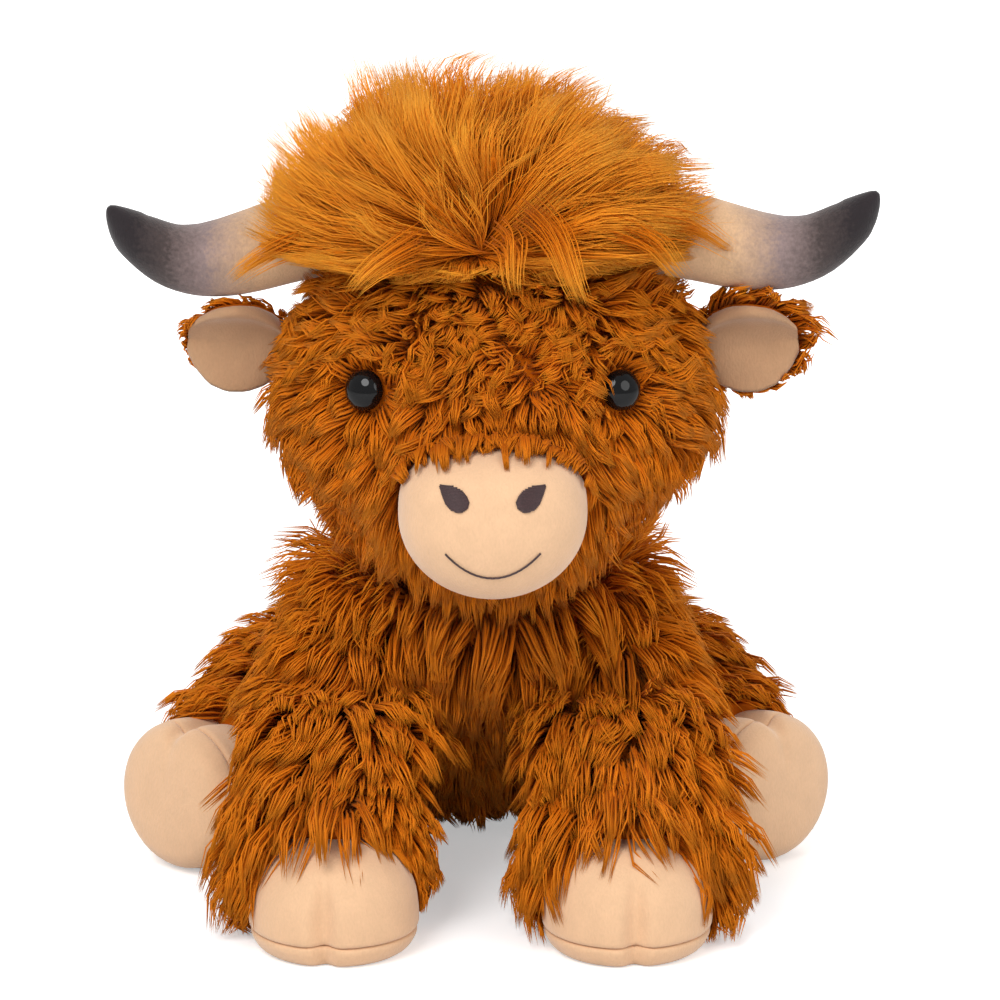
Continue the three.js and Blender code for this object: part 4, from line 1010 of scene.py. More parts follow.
def muzzle_fringe(rng):
    """Locks of the head's pile that drape forwards over the muzzle's upper rim and hang down in front,
    darkened with painted shade where they lie flat in the light.
    """
    count = 1500
    x = MUZZLE_HALF_WIDTH * rng.uniform(-0.95, 0.95, count)
    side = np.abs(x / MUZZLE_HALF_WIDTH)
    rim = MUZZLE_UPPER * (1 - side**BROW_POWER) ** (1 / BROW_POWER)
    root = muzzle_front(x, rim + 0.5)
    root[:, 1] = MUZZLE_SHOULDER + 6 * rng.random(count)
    heads, owner = tufts(root, 24, rng)
    drop = (0.2 + 4.2 * rng.random(len(heads)) ** 3)[owner] + rng.normal(0, 0.7, count)
    drop = np.clip(drop * (1.15 - 0.7 * side**3), 0.3, 9)
    sway = (shared(rng, 2.4, owner) + rng.normal(0, 1.2, count)) * (1 - side**2)
    rise = (0.6 + 1.1 * rng.random(len(heads)))[owner] * rng.uniform(0.7, 1.3, count)
    paths = [root]
    for share, lift in ((0.1, 2.6), (0.45, 2.2), (1, 0.9)):
        over, down = x + sway * share, rim - 0.2 - share * drop
        point = muzzle_front(over, down)
        across, upwards = muzzle_front(over + 0.2, down) - point, point - muzzle_front(over, down - 0.2)
        normal = unit(np.cross(across, upwards))
        paths.append(point + normal * (lift * rise)[:, None])
    paths = gathered(np.stack(paths, axis=1), heads, owner, 0.6)
    # Darkest lock shades: painted shade on locks that lie flat in the key light
    shade = np.clip(0.1 + shared(rng, 0.13, owner) + rng.normal(0, 0.13, count), 0.02, 0.98)
    return root, paths, normal, shade


def kept(keep, *arrays):
    """The rows of each array that a mask keeps."""
    return [array[keep] for array in arrays]


# Where the pile of the torso and the head is parted into meshes
TORSO_SPLIT_Y, HEAD_FRONT_Y, HEAD_BACK_Y = 30, -72, -30


class MESH_OT_cow_torso(CowPieceOperator):
    """Makes the torso's stuffed fur, combed downwards"""

    bl_idname = "mesh.cow_torso"
    bl_label = "Torso"

    def execute(self, context):
        rng = np.random.default_rng(11)
        pile, spacing, width = pile_sizes()
        skin = loft("torso_fur", torso_form.rings(pile, 48, 30))
        root, normal = scatter(skin, CROWDING["torso"] * spacing, rng)
        ground = root[::4], normal[::4]
        hidden = head_form.holds(root, 2)
        for side in SIDES.values():
            for _, form, _ in legs_of(side):
                hidden |= form.holds(root, pile + 0.5)
        root, normal = kept(~hidden, root, normal)
        centre_y = np.interp(root[:, 2], [0, TORSO_HEIGHT], [SEAT_Y, SEAT_Y - TORSO_LEAN])
        out = np.stack([root[:, 0], root[:, 1] - centre_y, 0 * root[:, 0]], axis=1)
        flow = -UP + 0.3 * unit(out)
        top = ease(root[:, 2], 78, 25)
        length = LOCK_LENGTH["torso"] * np.clip((root[:, 2] + 14) / 40, 0.45, 1) + 4 * top
        lift = 60 + 8 * top, 10 + 22 * top
        paths, shade = pile_paths(root, normal, flow, length, rng, ground, lift=lift, tuft=14, gather=0.68)
        front = root[:, 1] < TORSO_SPLIT_Y
        for name, part, base, nodes in (
            ("torso_fur", front, skin, ("torso_fur_shell", "torso_stuffing", "seat_pellet_pouch")),
            ("torso_pile_back", ~front, None, ()),
        ):
            obj = hair_mesh(name, *kept(part, paths, normal, shade), width, base)
            finish_piece(obj, "torso", MATERIALS["fur"], nodes)
        return {"FINISHED"}


class MESH_OT_cow_head(CowPieceOperator):
    """Makes the head's stuffed fur, short on the forehead, long on the cheeks and parted round the eyes"""

    bl_idname = "mesh.cow_head"
    bl_label = "Head"

    def execute(self, context):
        rng = np.random.default_rng(12)
        pile, spacing, width = pile_sizes()
        skin = loft("head_fur", head_form.rings(pile, 56, 36))
        root, normal = scatter(skin, CROWDING["head"] * spacing, rng)
        sparse = rng.random(len(root)) < np.clip((root[:, 1] + 90) / 90, 0.2, 0.5)
        thin = (root[:, 1] > HEAD_FRONT_Y) & sparse
        root, normal = kept(~thin, root, normal)
        ground = root[::8], normal[::8]
        x, z = root[:, 0] - HEAD_X, root[:, 2] - MUZZLE_Z
        under_muzzle = (root[:, 1] < MUZZLE_BACK) & (muzzle_share(x, z) < 0.97)
        crown = (np.hypot(x, root[:, 1] - SKULL_Y) < 30) & (root[:, 2] > 200)
        hidden = under_muzzle | crown | torso_form.holds(root, 12)
        eyes = [eye_place(side["sign"]) for side in SIDES.values()]
        for side, (point, _) in zip(SIDES.values(), eyes):
            hidden |= horn_form(side).holds(root, -1)
            hidden |= np.linalg.norm(root - point, axis=1) < EYE_RADIUS - 0.5
        root, normal = kept(~hidden, root, normal)
        flow, length, lift, brow = head_comb(root, eyes)
        paths, shade = pile_paths(
            root, normal, flow, length, rng, ground, lift=lift, tuft=14, swirl=11 + 36 * brow, gather=0.7,
            wave=0.9 + 0.9 * brow,
        )
        clear = np.ones(len(root), bool)
        for point, out in eyes:
            gap = np.linalg.norm(paths - (point + 4 * out), axis=2).min(axis=1)
            clear &= gap > EYE_RADIUS - 2
        rows = zip(kept(clear, root, paths, normal, shade), muzzle_fringe(rng))
        root, paths, normal, shade = (np.concatenate(both) for both in rows)
        front, left, back = root[:, 1] < HEAD_FRONT_Y, root[:, 0] < HEAD_X, root[:, 1] > HEAD_BACK_Y
        for name, part, base, nodes in (
            ("head_fur", front & left, skin, ("head_fur_shell", "head_stuffing", "forelock_patch")),
            ("head_pile_right", front & ~left, None, ()),
            ("head_pile_sides", ~front & ~back, None, ()),
            ("head_pile_back", back, None, ()),
        ):
            obj = hair_mesh(name, *kept(part, paths, normal, shade), 0.9 * width, base)
            finish_piece(obj, "head", MATERIALS["fur"], nodes)
        return {"FINISHED"}


class MESH_OT_cow_muzzle(CowPieceOperator):
    """Makes the muzzle, a domed shield of short pile, drawn in where it is sewn to the face"""

    bl_idname = "mesh.cow_muzzle"
    bl_label = "Muzzle"

    def execute(self, context):
        def outline(angle):
            c, s = np.cos(angle), np.sin(angle)
            tall = np.where(s > 0, MUZZLE_UPPER, MUZZLE_LOWER)
            power = np.where(s > 0, BROW_POWER, CHIN_POWER)
            reach = (np.abs(c) ** power + np.abs(s) ** power) ** (-1 / power)
            return reach * c, reach * s * tall / MUZZLE_LOWER

        rings, count = [], 96
        u, v = outline(-np.arange(count) * 2 * math.pi / count)
        rows = [(MUZZLE_BACK, 0.9), (MUZZLE_BACK - 9, 0.95), (MUZZLE_SHOULDER + 3, 0.985)]
        rows += [
            (MUZZLE_SHOULDER + d * (MUZZLE_TIP - MUZZLE_SHOULDER), (1 - d**DOME_POWER) ** (1 / DOME_POWER))
            for d in np.sin(np.linspace(0, 1, 26)[:-1] * math.pi / 2)
        ]
        for y, share in rows:
            x = HEAD_X + MUZZLE_HALF_WIDTH * share * u
            z = MUZZLE_Z + MUZZLE_LOWER * share * v
            rings.append(np.stack([x, np.full(count, y), z], axis=1))
        obj = loft("muzzle", rings)
        finish_piece(obj, "head", MATERIALS["peach"], ("muzzle_cover", "muzzle_stuffing"))
        return {"FINISHED"}


def tube(name, paths, radius, resolution):
    """Round threads along paths, made a mesh."""
    curve = bpy.data.curves.new(name, "CURVE")
    curve.dimensions = "3D"
    curve.bevel_depth = radius * MM
    curve.bevel_resolution = resolution
    curve.use_fill_caps = True
    for path in paths:
        spline = curve.splines.new("POLY")
        spline.points.add(len(path) - 1)
        for point, co in zip(spline.points, placed(path)):
            point.co = (*co, 1)
    obj = bpy.data.objects.new(name, curve)
    bpy.context.scene.collection.objects.link(obj)
    bare(obj)
    bpy.ops.object.convert(target="MESH")
    obj = bpy.context.object
    bpy.ops.object.shade_smooth()
    return obj


NOSTRIL_X, NOSTRIL_Z, NOSTRIL_HALF, SATIN_ROW = 12.2, 11.5, 5.25, 0.42
SMILE_HALF, SMILE_TOP, SMILE_DIP, SMILE_STITCHES = 15.5, -7.5, 8.2, 17


class MESH_OT_cow_stitches(CowPieceOperator):
    """Embroiders the nostrils in satin stitch and the smile in a line of short stitches"""

    bl_idname = "mesh.cow_stitches"
    bl_label = "Face stitches"

    def execute(self, context):
        edge = [
            (1, 0.62), (0.55, 0.68), (0.05, 0.62), (-0.42, 0.42), (-0.72, 0.1), (-0.88, -0.25),
            (-0.78, -0.6), (-0.45, -0.82), (-0.1, -0.85), (0.3, -0.72), (0.6, -0.4), (0.82, 0.1),
        ]
        edge = np.array(edge) * NOSTRIL_HALF
        for name, side in SIDES.items():
            sign = side["sign"]
            corners = edge * [sign, 1]
            rows = []
            for z in np.arange(corners[:, 1].min() + 0.2, corners[:, 1].max(), SATIN_ROW):
                cuts = []
                for p, q in zip(corners, np.roll(corners, -1, axis=0)):
                    if (p[1] - z) * (q[1] - z) < 0:
                        cuts.append(p[0] + (q[0] - p[0]) * (z - p[1]) / (q[1] - p[1]))
                if len(cuts) == 2:
                    left, right = sorted(cuts)
                    x = np.linspace(left, right, 7)
                    bulge = 0.15 + 0.45 * np.sin(np.linspace(0, math.pi, 7)) ** 0.5
                    row = muzzle_front(NOSTRIL_X * sign + x, NOSTRIL_Z + z + 0 * x)
                    rows.append(row - np.outer(bulge, [0, 1, 0]))
            obj = tube(f"nostril_stitch_{name}", rows, sizes().stitch / 2 / MM, 1)
            finish_piece(obj, "head", MATERIALS["thread"], (f"nostril_{name}",))
        stitches = []
        for k in range(SMILE_STITCHES):
            share = np.linspace(-1 + 2 * k / SMILE_STITCHES, -1 + 2 * (k + 1.12) / SMILE_STITCHES, 6)
            bulge = 0.2 + 0.25 * np.sin(np.linspace(0, math.pi, 6))
            line = muzzle_front(share * SMILE_HALF, SMILE_TOP - SMILE_DIP * (1 - share**2))
            stitches.append(line - np.outer(bulge, [0, 1, 0]))
        obj = tube("smile_thread", stitches, sizes().stitch / 2 / MM, 2)
        finish_piece(obj, "head", MATERIALS["thread"], ("smile_stitch",))
        return {"FINISHED"}


# How far a bead is lifted out of the face, and how far it goes on behind its widest ring
EYE_LIFT, EYE_EDGE = 1.6, 0.6


class MESH_OT_cow_eyes(CowPieceOperator):
    """Makes the polished domes of the safety eyes"""

    bl_idname = "mesh.cow_eyes"
    bl_label = "Eyes"

    def execute(self, context):
        for name, side in SIDES.items():
            point, out = eye_place(side["sign"])
            turn = Vector(out).to_track_quat("Z", "Y").to_matrix().to_4x4()
            bpy.ops.object.select_all(action="DESELECT")
            bpy.ops.mesh.primitive_uv_sphere_add(segments=48, ring_count=32, radius=EYE_RADIUS * MM)
            obj = bpy.context.object
            obj.name = obj.data.name = f"eye_bead_{name}"
            bpy.ops.object.mode_set(mode="EDIT")
            bpy.ops.mesh.select_all(action="SELECT")
            bpy.ops.mesh.bisect(
                plane_co=(0, 0, -EYE_EDGE * MM), plane_no=(0, 0, 1), clear_inner=True, use_fill=True,
            )
            bpy.ops.mesh.select_all(action="SELECT")
            bpy.ops.transform.resize(value=(1, 1, EYE_DOME / EYE_RADIUS), center_override=(0, 0, 0))
            bpy.ops.object.mode_set(mode="OBJECT")
            base = placed(point + out * EYE_LIFT)
            obj.data.transform(Matrix.Translation(base) @ turn)
            bare(obj)
            bpy.ops.object.shade_smooth_by_angle(angle=math.radians(40))
            finish_piece(obj, "head", MATERIALS["eye"], (f"eye_{name}",))
        return {"FINISHED"}


class MESH_OT_cow_horns(CowPieceOperator):
    """Makes the stuffed horns, which sag and curl up to a blunt tip"""

    bl_idname = "mesh.cow_horns"
    bl_label = "Horns"

    def execute(self, context):
        for name, side in SIDES.items():
            obj = loft(f"horn_cover_{name}", horn_form(side).rings(0, 40, 44))
            nodes = (f"horn_{name}", f"horn_stuffing_{name}")
            finish_piece(obj, "head", MATERIALS["horn"], nodes)
        return {"FINISHED"}


class MESH_OT_cow_ears(CowPieceOperator):
    """Makes the ears: a fur leaf with a tufted rim behind a cupped lining of short pile"""

    bl_idname = "mesh.cow_ears"
    bl_label = "Ears"

    def execute(self, context):
        width = sizes().lock_width / MM
        for name, side in SIDES.items():
            sign = side["sign"]
            rng = np.random.default_rng(20 + sign)
            columns = 27
            across = np.concatenate([np.linspace(-1, 1, columns), np.linspace(1, -1, columns)[1:-1]])

            def leaf(piece, front, back, shrink):
                rings = []
                for share in [*np.linspace(0, 0.9, 14), 0.94, 0.97, 0.99, 1]:
                    ring = []
                    for k, u in enumerate(across):
                        rim = 1 - 0.75 * abs(u) ** 3
                        depth = back * (rim if back < -NAP else 1)
                        if k < columns:
                            roll = EAR_ROLL * math.exp(-(((u - 0.8) / 0.17) ** 2)) * min(1, 3 - 3 * share)
                            depth = front * rim + roll if front > NAP else front
                        ring.append(ear_point(sign, share * shrink, u * shrink, depth))
                    rings.append(np.array(ring))
                return loft(piece, rings)

            lining = leaf(f"ear_lining_pile_{name}", 0.6 + NAP, 0.6, 0.97)
            nodes = (f"ear_lining_{name}",)
            finish_piece(lining, f"ear_{name}", MATERIALS["lining"], nodes)
            back = leaf(f"ear_fur_{name}", -0.3, -4, 0.98)
            root, normal = scatter(back, 1.15, rng)
            ground = root[::2], normal[::2]
            _, along, _, out = ear_frame(sign)
            behind = normal @ out < 0.35
            root, normal = kept(behind, root, normal)
            centre = ear_point(sign, 0.4, 0, -3)
            rise = np.clip((root - centre) @ UP / EAR_HALF_WIDTH, -1, 1)
            flow = unit(root - centre) + along * 0.8 + UP * np.clip(rise, -0.25, 0.3)[:, None]
            length = side["ear_fringe"] * (9.5 + 3 * np.clip((root - centre) @ along / EAR_LENGTH, 0, 1))
            length = length + 3 + 4.5 * rise
            paths, shade = pile_paths(
                root, normal, flow, length, rng, ground, lift=(48, 12), tuft=16, swirl=16, gather=0.7, sag=0,
            )
            obj = hair_mesh(f"ear_fur_{name}", paths, normal, shade, width, back)
            finish_piece(obj, f"ear_{name}", MATERIALS["fur"], (f"ear_back_{name}",))
        return {"FINISHED"}


def wavy(paths, across, up, rng, owner, size):
    """Paths with a soft wave that the locks of one tuft share."""
    share = np.linspace(0, 1, paths.shape[1])[None]
    tufts_held = owner.max() + 1
    phase = rng.random(tufts_held)[owner] + 0.12 * rng.random(len(paths))
    pitch = (0.7 + 0.6 * rng.random(tufts_held))[owner]
    size = (size[0] + (size[1] - size[0]) * rng.random(tufts_held))[owner][:, None] * share
    bend = 2 * math.pi * (pitch[:, None] * share + phase[:, None])
    return paths + across * (np.sin(bend) * size)[:, :, None] + up * (np.cos(bend) * size * 0.5)[:, :, None]


# Strands of the mop, those that start at the whorl, fall on the brow or cross the whorl, and stray locks
STRANDS, PARTING, FRINGE, CROSSING, STRAYS = 20000, 5200, 1500, 400, 260
STRAY_ENDS = [
    ((16, -103, 255), (34, -119, 228)), ((6, -105, 248), (12, -119, 232)),
    ((-22, -102, 246), (-42, -112, 231)), ((44, -92, 247), (68, -86, 230)),
    ((-54, -82, 244), (-84, -70, 226)), ((50, -84, 250), (86, -62, 234)),
]


def stray_locks(rng, share):
    """Paths of the loose locks that fall from the whorl over the forehead and the horns."""
    pick = rng.integers(0, len(STRAY_ENDS), STRAYS)
    begin, finish = (np.array(ends, float)[pick] for ends in zip(*STRAY_ENDS))
    spread = rng.normal(0, 1, (STRAYS, 3))
    along = share[:, :, None]
    strays = (begin + 3 * spread)[:, None] * (1 - along) + (finish + 1.5 * spread)[:, None] * along
    strays = strays + np.array([0, -5, 4]) * np.sin(math.pi * along)
    return strays + np.array([1.5, 0, 0]) * np.sin(5 * along)


class MESH_OT_cow_forelock(CowPieceOperator):
    """Makes the mop of long hair that fans out over the crown from a whorl above the forehead"""

    bl_idname = "mesh.cow_forelock"
    bl_label = "Forelock"

    def execute(self, context):
        rng = np.random.default_rng(13)
        share = np.linspace(0, 1, 7)[None]
        start = np.arccos(1 - 1.75 * rng.random(STRANDS))
        start[:PARTING] = 0.04 + 0.4 * rng.random(PARTING)
        start[FRINGE : FRINGE + CROSSING] = rng.uniform(-0.22, 0.08, CROSSING)
        turn = np.radians(-30 + 240 * rng.random(STRANDS))
        fringe = np.arange(STRANDS) < FRINGE
        turn[fringe] = np.radians(rng.uniform(-175, -5, FRINGE))
        reach = np.where(np.arange(STRANDS) < PARTING, 0.75, 0.5) + 0.45 * rng.random(STRANDS)
        reach[fringe] *= 0.55
        middle = mop_way(start + 0.5 * reach, turn)
        heads, owner = tufts(middle, 60, rng)
        turn = turn + shared(rng, 0.24, owner) + rng.normal(0, 0.08, STRANDS)
        reach = reach * np.clip(1 + shared(rng, 0.2, owner), 0.55, 1.5)
        depth = 0.86 + 0.26 * rng.random(len(heads))[owner] - 0.35 * rng.random(STRANDS) ** 3
        depth[fringe] *= 0.8
        flick = 0.3 * rng.random(len(heads))[owner] ** 2 + 0.35 * (rng.random(STRANDS) < 0.05)
        curl = (0.15 + 0.8 * rng.random(len(heads)))[owner][:, None]
        polar = start[:, None] + reach[:, None] * share
        deep = curl * (1 - (1 - share) ** 2.4) + (1 - curl) * share
        deep = depth[:, None] * deep + flick[:, None] * share**3
        way = mop_way(polar, turn[:, None] + 0.12 * np.sin(3 * share))
        paths = mop_point(way, deep)
        across = unit(np.cross(middle, mop_way(start + reach, turn)))[:, None]
        paths = wavy(paths, across, middle[:, None], rng, owner, (1, 4.5))
        paths = gathered(paths, heads, owner, 0.35)
        heads, small = tufts(middle, 12, rng)
        paths = gathered(wavy(paths, across, middle[:, None], rng, small, (0.3, 2.2)), heads, small, 0.6)
        paths[:, :, 0] -= MOP_LEAN * np.clip(paths[:, :, 2] - MOP_LEAN_FROM, 0, 40)
        paths[:, :, 2] -= MOP_CROP * np.maximum(paths[:, :, 2] - MOP_CROP_FROM, 0)
        # Shade rises with the distance from the whorl: the darker strands near it are painted shade in the
        # parting
        shade = 0.4 + 0.2 * np.clip(start + 0.5 * reach - 0.3, 0, 1) + rng.normal(0, 0.12, STRANDS)
        shade = shade + shared(rng, 0.1, owner) + shared(rng, 0.1, small)
        paths = np.concatenate([paths, stray_locks(rng, share)])
        shade = np.append(shade, rng.normal(0.6, 0.1, STRAYS))
        normal = unit(paths[:, 3] - MOP_MIDDLE)
        width = 0.17 + 0.11 * rng.random(len(paths))
        shade = np.clip(shade, 0.02, 0.98)
        order = np.argsort(paths[:, 3, 1])
        for name, part in zip(("front", "crown", "top", "back"), np.array_split(order, 4)):
            obj = hair_mesh(f"forelock_{name}", *kept(part, paths, normal, shade, width))
            nodes = ("forelock_hair",) if name == "front" else ()
            finish_piece(obj, "head", MATERIALS["hair"], nodes)
        return {"FINISHED"}


# How far inside a hoof's side a lock's root has to be to stay hidden
HOOF_COVER = 1.5


def front_comb(side, form, root):
    """Way and length of a front leg's locks: along the leg, out over the hoof and forwards at the hem."""
    sign = side["sign"]
    rows = np.array([form.at(t) for t in np.linspace(0, 1, 80)])
    axis = np.stack([np.interp(root[:, 2], rows[:, 2], rows[:, k]) for k in (0, 1)], axis=1)
    out = np.concatenate([root[:, :2] - axis, np.zeros((len(root), 1))], axis=1)
    out[:, 0] *= np.where(sign * out[:, 0] > 0, 1, 0.3)
    slope = np.stack([np.gradient(rows[:, k], rows[:, 2]) for k in (0, 1)], axis=1)
    slope = np.stack([np.interp(root[:, 2], rows[:, 2], slope[:, k]) for k in (0, 1)], axis=1)
    path = unit(np.concatenate([-slope, -np.ones((len(root), 1))], axis=1))
    over_hoof = swell(root[:, 2], 42, 13) * (out[:, 1] < 0)
    hem = np.clip(1 - root[:, 2] / 30, 0, 1)
    flow = path + (0.4 + 0.6 * over_hoof + 0.3 * hem)[:, None] * out / 30
    flow[:, 1] -= side["hem"] * hem
    length = LOCK_LENGTH["front"] * np.clip((root[:, 2] + 14) / 30, 0.8, 1) + 9 * over_hoof
    inner = (sign * out[:, 0] < -2) & (root[:, 2] < 62)
    return flow, length * np.where(inner, side["inner_pile"], 1) + 5 * side["hem"] * hem


def hind_comb(side, root):
    """Way and length of a hind leg's locks: from the hip to the foot and a little down."""
    hip = np.array([side["sign"] * HIP[0], HIP[1], HIP[2]])
    foot = np.array([*side["hind_foot"], 30.0])
    flow = unit(foot - hip) + 0.45 * unit(root - hip) - 0.35 * UP
    return flow, LOCK_LENGTH["hind"] * np.clip((root[:, 2] + 4) / 26, 0.5, 1)


def clear_of_hoof(end, hoof, paths, rng):
    """Locks laid over a front hoof's dome, and which locks stay out of their hoof."""
    basis, place = np.array(hoof)[:3, :3], np.array(hoof.translation)
    local = (paths - place) @ basis
    size = np.interp(local[..., 2] / HOOF_HEIGHT, *zip(*HOOF_SHARES), left=0, right=0)
    reach = np.sqrt((local[..., 0] / HOOF_HALF[0]) ** 2 + (local[..., 1] / HOOF_HALF[1]) ** 2)
    sunk = size - reach
    if end == "hind":
        return paths, ~(sunk > 0.06).any(axis=1)
    push = np.where(sunk > -0.05, (size + 0.05) / np.maximum(reach, 0.2), 1)
    local[..., :2] *= np.where(size > 0, push, 1)[..., None]
    low_tip = (local[:, -1, 1] < 0) & (np.abs(local[:, -1, 0]) < 0.8 * HOOF_HALF[0])
    low_tip &= local[:, -1, 2] < rng.uniform(24, 34, len(local))
    return local @ basis.T + place, ~((sunk > 0.3).any(axis=1) | (low_tip & (sunk[:, -1] > -0.7)))


class MESH_OT_cow_legs(CowPieceOperator):
    """Makes the stuffed fur of the four legs, combed down and outwards over the hooves"""

    bl_idname = "mesh.cow_legs"
    bl_label = "Legs"

    def execute(self, context):
        pile, spacing, width = pile_sizes()
        for name, side in SIDES.items():
            for end, form, hoof in legs_of(side):
                rng = np.random.default_rng(40 + side["sign"] + (5 if end == "hind" else 0))
                skin = loft(f"{end}_leg_pile_{name}", form.rings(pile, 44, 30))
                root, normal = scatter(skin, CROWDING[end] * spacing, rng)
                ground = root[::5], normal[::5]
                x, y, z = ((root - np.array(hoof.translation)) @ np.array(hoof)[:3, :3]).T
                half_x, half_y = (half - HOOF_COVER for half in HOOF_HALF)
                in_hoof = ((x / half_x) ** 2 + (y / half_y) ** 2 < 1) & (z > -2) & (z < 30)
                hidden = in_hoof | torso_form.holds(root, 22) | head_form.holds(root, 14)
                root, normal = kept(~hidden, root, normal)
                flow, length = front_comb(side, form, root) if end == "front" else hind_comb(side, root)
                paths, shade = pile_paths(
                    root, normal, flow, length, rng, ground, tuft=14, gather=0.68, sag=0.25,
                )
                paths, clear = clear_of_hoof(end, hoof, paths, rng)
                obj = hair_mesh(f"{end}_leg_pile_{name}", *kept(clear, paths, normal, shade), width, skin)
                nodes = (f"{end}_leg_fur_{name}", f"{end}_leg_stuffing_{name}")
                finish_piece(obj, f"{end}_leg_{name}", MATERIALS["fur"], nodes)
        return {"FINISHED"}


class MESH_OT_cow_hooves(CowPieceOperator):
    """Makes the hooves: a sole and a cleft upper of short pile that meet in a seam"""

    bl_idname = "mesh.cow_hooves"
    bl_label = "Hooves"

    def execute(self, context):
        tuck = [(0, 3.0), (0.05, 1.6), (0.35, 0.75), (0.9, 0.28), (1.7, 0.05), (2.6, 0)]
        upper = [hoof_ring(SOLE_SEAM + h, inset) for h, inset in tuck]
        upper += [hoof_ring(h, 0) for h in np.linspace(SOLE_SEAM + 4, HOOF_HEIGHT, 16)]
        middle = [(1, 16), (0.93, 11), (0.75, 7), (0.5, 4), (0.22, 1.8), (0.06, 0.6)]
        edge = [hoof_ring(h, 0) for h in (0.4, 0.9, 1.6, 2.7, 4, 5.2)]
        edge += [hoof_ring(SOLE_SEAM - h, inset) for h, inset in tuck[::-1]]
        for name, side in SIDES.items():
            for end, _, hoof in legs_of(side):
                turn, place = np.array(hoof)[:3, :3].T, np.array(hoof)[:3, 3]
                hollow = 0.3 if end == "front" else -1.8
                sole = [hoof_ring(hollow * share, inset) for share, inset in middle] + edge
                for part, rings in (("upper", upper), ("sole", sole)):
                    obj = loft(f"{end}_toe_{part}_{name}", [ring @ turn + place for ring in rings])
                    nodes = (f"{end}_hoof_{part}_{name}",)
                    finish_piece(obj, f"{end}_leg_{name}", MATERIALS["peach"], nodes)
        return {"FINISHED"}


class MESH_OT_cow_tail(CowPieceOperator):
    """Makes the tail's fur cord and the long tassel at its end"""

    bl_idname = "mesh.cow_tail"
    bl_label = "Tail"

    def execute(self, context):
        rng = np.random.default_rng(14)
        width = sizes().lock_width / MM
        y = TAIL_CLEAR + TASSEL_RADIUS
        cord = Form([
            (0, TAIL_ROOT_Y - 4, TAIL_ROOT_Z + 3, 3, 3),
            (0, TAIL_ROOT_Y + TAIL_RADIUS, TAIL_ROOT_Z + 1, 3.5, 3.5),
            (0, TAIL_CLEAR + TAIL_RADIUS + 3, TAIL_ROOT_Z - 0.4 * TAIL_LENGTH, 3.5, 3.5),
            (0, y, TAIL_ROOT_Z - 0.85 * TAIL_LENGTH, 3, 3),
        ], upright=False)
        skin = loft("tail_pile", cord.rings(0, 20, 16))
        root, normal = scatter(skin, 1.3, rng)
        length = np.full(len(root), float(LOCK_LENGTH["tail"]))
        flow = -UP + normal * 0.2
        paths, shade = pile_paths(root, normal, flow, length, rng, (root, normal), lift=(45, 10))
        obj = hair_mesh("tail_pile", paths, normal, shade, width, skin)
        finish_piece(obj, "tail", MATERIALS["fur"], ("tail_fur",))
        low = TAIL_ROOT_Z - 0.7 * TAIL_LENGTH
        count = 900
        turn = rng.random(count) * 2 * math.pi
        out = np.stack([np.cos(turn), np.sin(turn), 0 * turn], axis=1)
        reach = rng.random(count)[:, None]
        root = np.array([0, y, low + 2]) + out * 2.5
        size = (TASSEL_LENGTH * 0.8) * (0.75 + 0.3 * rng.random(count))[:, None]
        share = np.linspace(0, 1, 6)[None, :, None]
        fullness = np.sin(math.pi * np.clip(share * 0.9, 0, 1)) ** 0.8
        paths = root[:, None] + out[:, None] * fullness * (2 + 8 * reach[:, :, None])
        paths = paths - UP * size[:, :, None] * share
        heads = rng.choice(count, 60, replace=False)
        paths = gathered(paths, heads, nearest(paths[:, 2], paths[heads, 2]), 0.4)
        shade = np.clip(rng.normal(0.5, 0.18, count), 0.02, 0.98)
        obj = hair_mesh("tail_brush", paths, out, shade, 0.6)
        finish_piece(obj, "tail", MATERIALS["hair"], ("tail_tassel",))
        return {"FINISHED"}


# Name, place, size and power of the lamps, and the height that they light
LAMPS = (
    ("key", (-0.7, -1.3, 1.5), 1.2, 26),
    ("fill", (1.2, -1.1, 0.9), 1.2, 9),
    ("rim", (0.2, 1.2, 1.3), 1.0, 8),
)
LIT_HEIGHT = 0.14
CAMERA_TARGET, CAMERA_DISTANCE, CAMERA_ELEVATION, CAMERA_LENS = (5.4, 0, 131.8), 1.5, 14, 150


def aimed(name, data, place, target):
    """Puts a lamp or a camera at a place, turned towards a target."""
    obj = bpy.data.objects.new(name, data)
    bpy.context.scene.collection.objects.link(obj)
    obj.location = place
    obj.rotation_euler = (target - Vector(place)).to_track_quat("-Z", "Y").to_euler()
    return obj


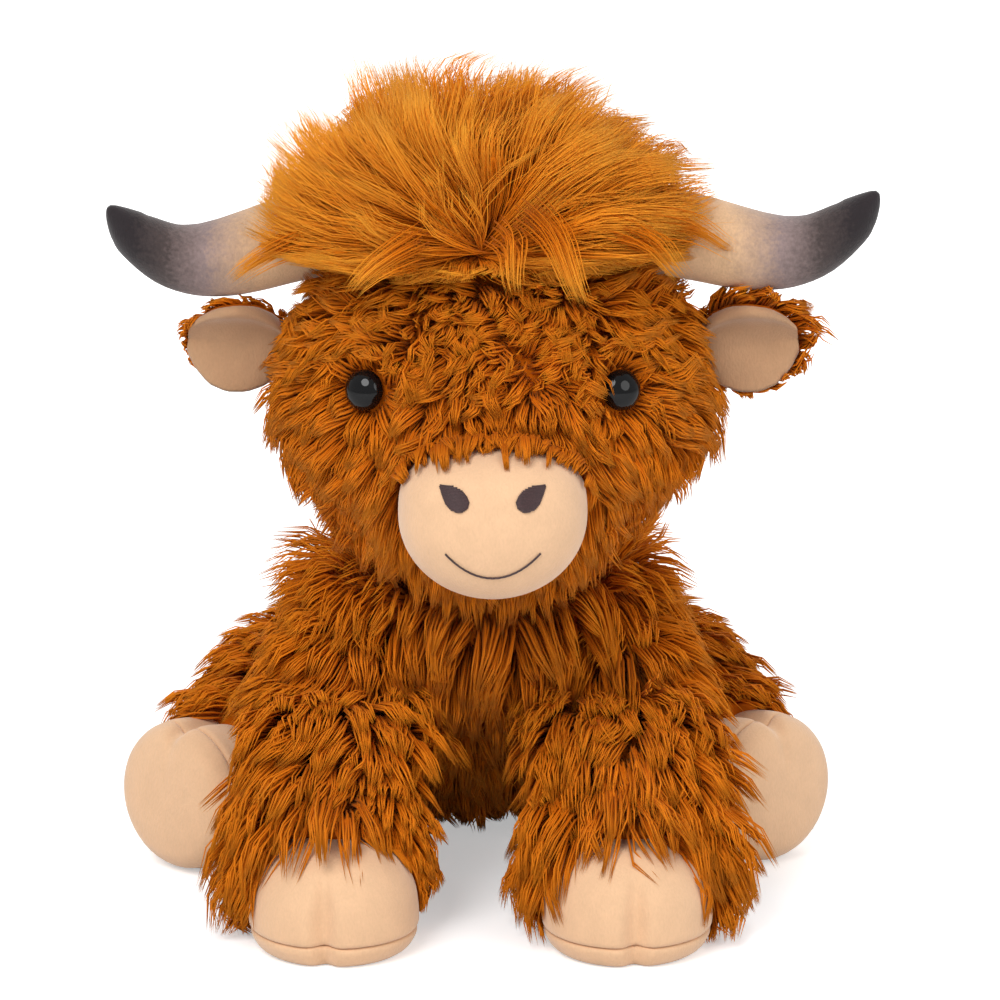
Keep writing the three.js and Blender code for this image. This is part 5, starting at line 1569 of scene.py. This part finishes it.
class SCENE_OT_cow_stage(CowPieceOperator):
    """Sets the floor, the lights and the camera"""

    bl_idname = "scene.cow_stage"
    bl_label = "Stage"

    def execute(self, context):
        scene = context.scene
        scene.view_settings.view_transform = "Standard"
        bpy.ops.object.select_all(action="DESELECT")
        bpy.ops.mesh.primitive_plane_add(size=40)
        floor = context.object
        floor.name = "floor"
        floor.data.materials.append(floor_material())
        world = bpy.data.worlds.new("Soft room")
        scene.world = world
        world.use_nodes = True
        back = world.node_tree.nodes["Background"]
        back.inputs["Color"].default_value = (1, 1, 1, 1)
        back.inputs["Strength"].default_value = 0.55
        for name, place, size, power in LAMPS:
            lamp = bpy.data.lights.new(name, "AREA")
            lamp.shape = "DISK"
            lamp.size = size
            lamp.energy = power
            aimed(name, lamp, place, Vector((0, 0, LIT_HEIGHT)))
        target = Vector(placed(CAMERA_TARGET))
        elevation = math.radians(CAMERA_ELEVATION)
        away = Vector((0, -math.cos(elevation), math.sin(elevation)))
        lens = bpy.data.cameras.new("camera")
        lens.sensor_width = 36
        lens.lens = CAMERA_LENS
        scene.camera = aimed("camera", lens, target + away * CAMERA_DISTANCE, target)
        return {"FINISHED"}


class VIEW3D_PT_cow(bpy.types.Panel):
    """Lists the cow's pieces in the order in which they are made"""

    bl_label = "Plush Cow"
    bl_idname = "VIEW3D_PT_cow"
    bl_space_type = "VIEW_3D"
    bl_region_type = "UI"
    bl_category = "Plush Cow"

    def draw(self, context):
        layout = self.layout
        for group in (context.scene.cow_sizes, context.scene.cow_colours):
            for name in group.bl_rna.properties.keys():
                if name not in ("rna_type", "name"):
                    layout.prop(group, name)
        for operator in OPERATORS:
            layout.operator(operator.bl_idname)


OPERATORS = (
    MATERIAL_OT_cow_fabrics, MESH_OT_cow_torso, MESH_OT_cow_head, MESH_OT_cow_muzzle, MESH_OT_cow_stitches,
    MESH_OT_cow_eyes, MESH_OT_cow_horns, MESH_OT_cow_ears, MESH_OT_cow_forelock, MESH_OT_cow_legs,
    MESH_OT_cow_hooves, MESH_OT_cow_tail, SCENE_OT_cow_stage,
)
CLASSES = (CowColours, CowSizes, *OPERATORS, VIEW3D_PT_cow)


def register():
    for cls in CLASSES:
        bpy.utils.register_class(cls)
    bpy.types.Scene.cow_colours = PointerProperty(type=CowColours)
    bpy.types.Scene.cow_sizes = PointerProperty(type=CowSizes)


def unregister():
    del bpy.types.Scene.cow_colours
    del bpy.types.Scene.cow_sizes
    for cls in reversed(CLASSES):
        bpy.utils.unregister_class(cls)


def main():
    register()
    bpy.ops.material.cow_fabrics()
    bpy.ops.mesh.cow_torso()
    bpy.ops.mesh.cow_head()
    bpy.ops.mesh.cow_muzzle()
    bpy.ops.mesh.cow_stitches()
    bpy.ops.mesh.cow_eyes()
    bpy.ops.mesh.cow_horns()
    bpy.ops.mesh.cow_ears()
    bpy.ops.mesh.cow_forelock()
    bpy.ops.mesh.cow_legs()
    bpy.ops.mesh.cow_hooves()
    bpy.ops.mesh.cow_tail()
    bpy.ops.scene.cow_stage()


if __name__ == "__main__":
    main()
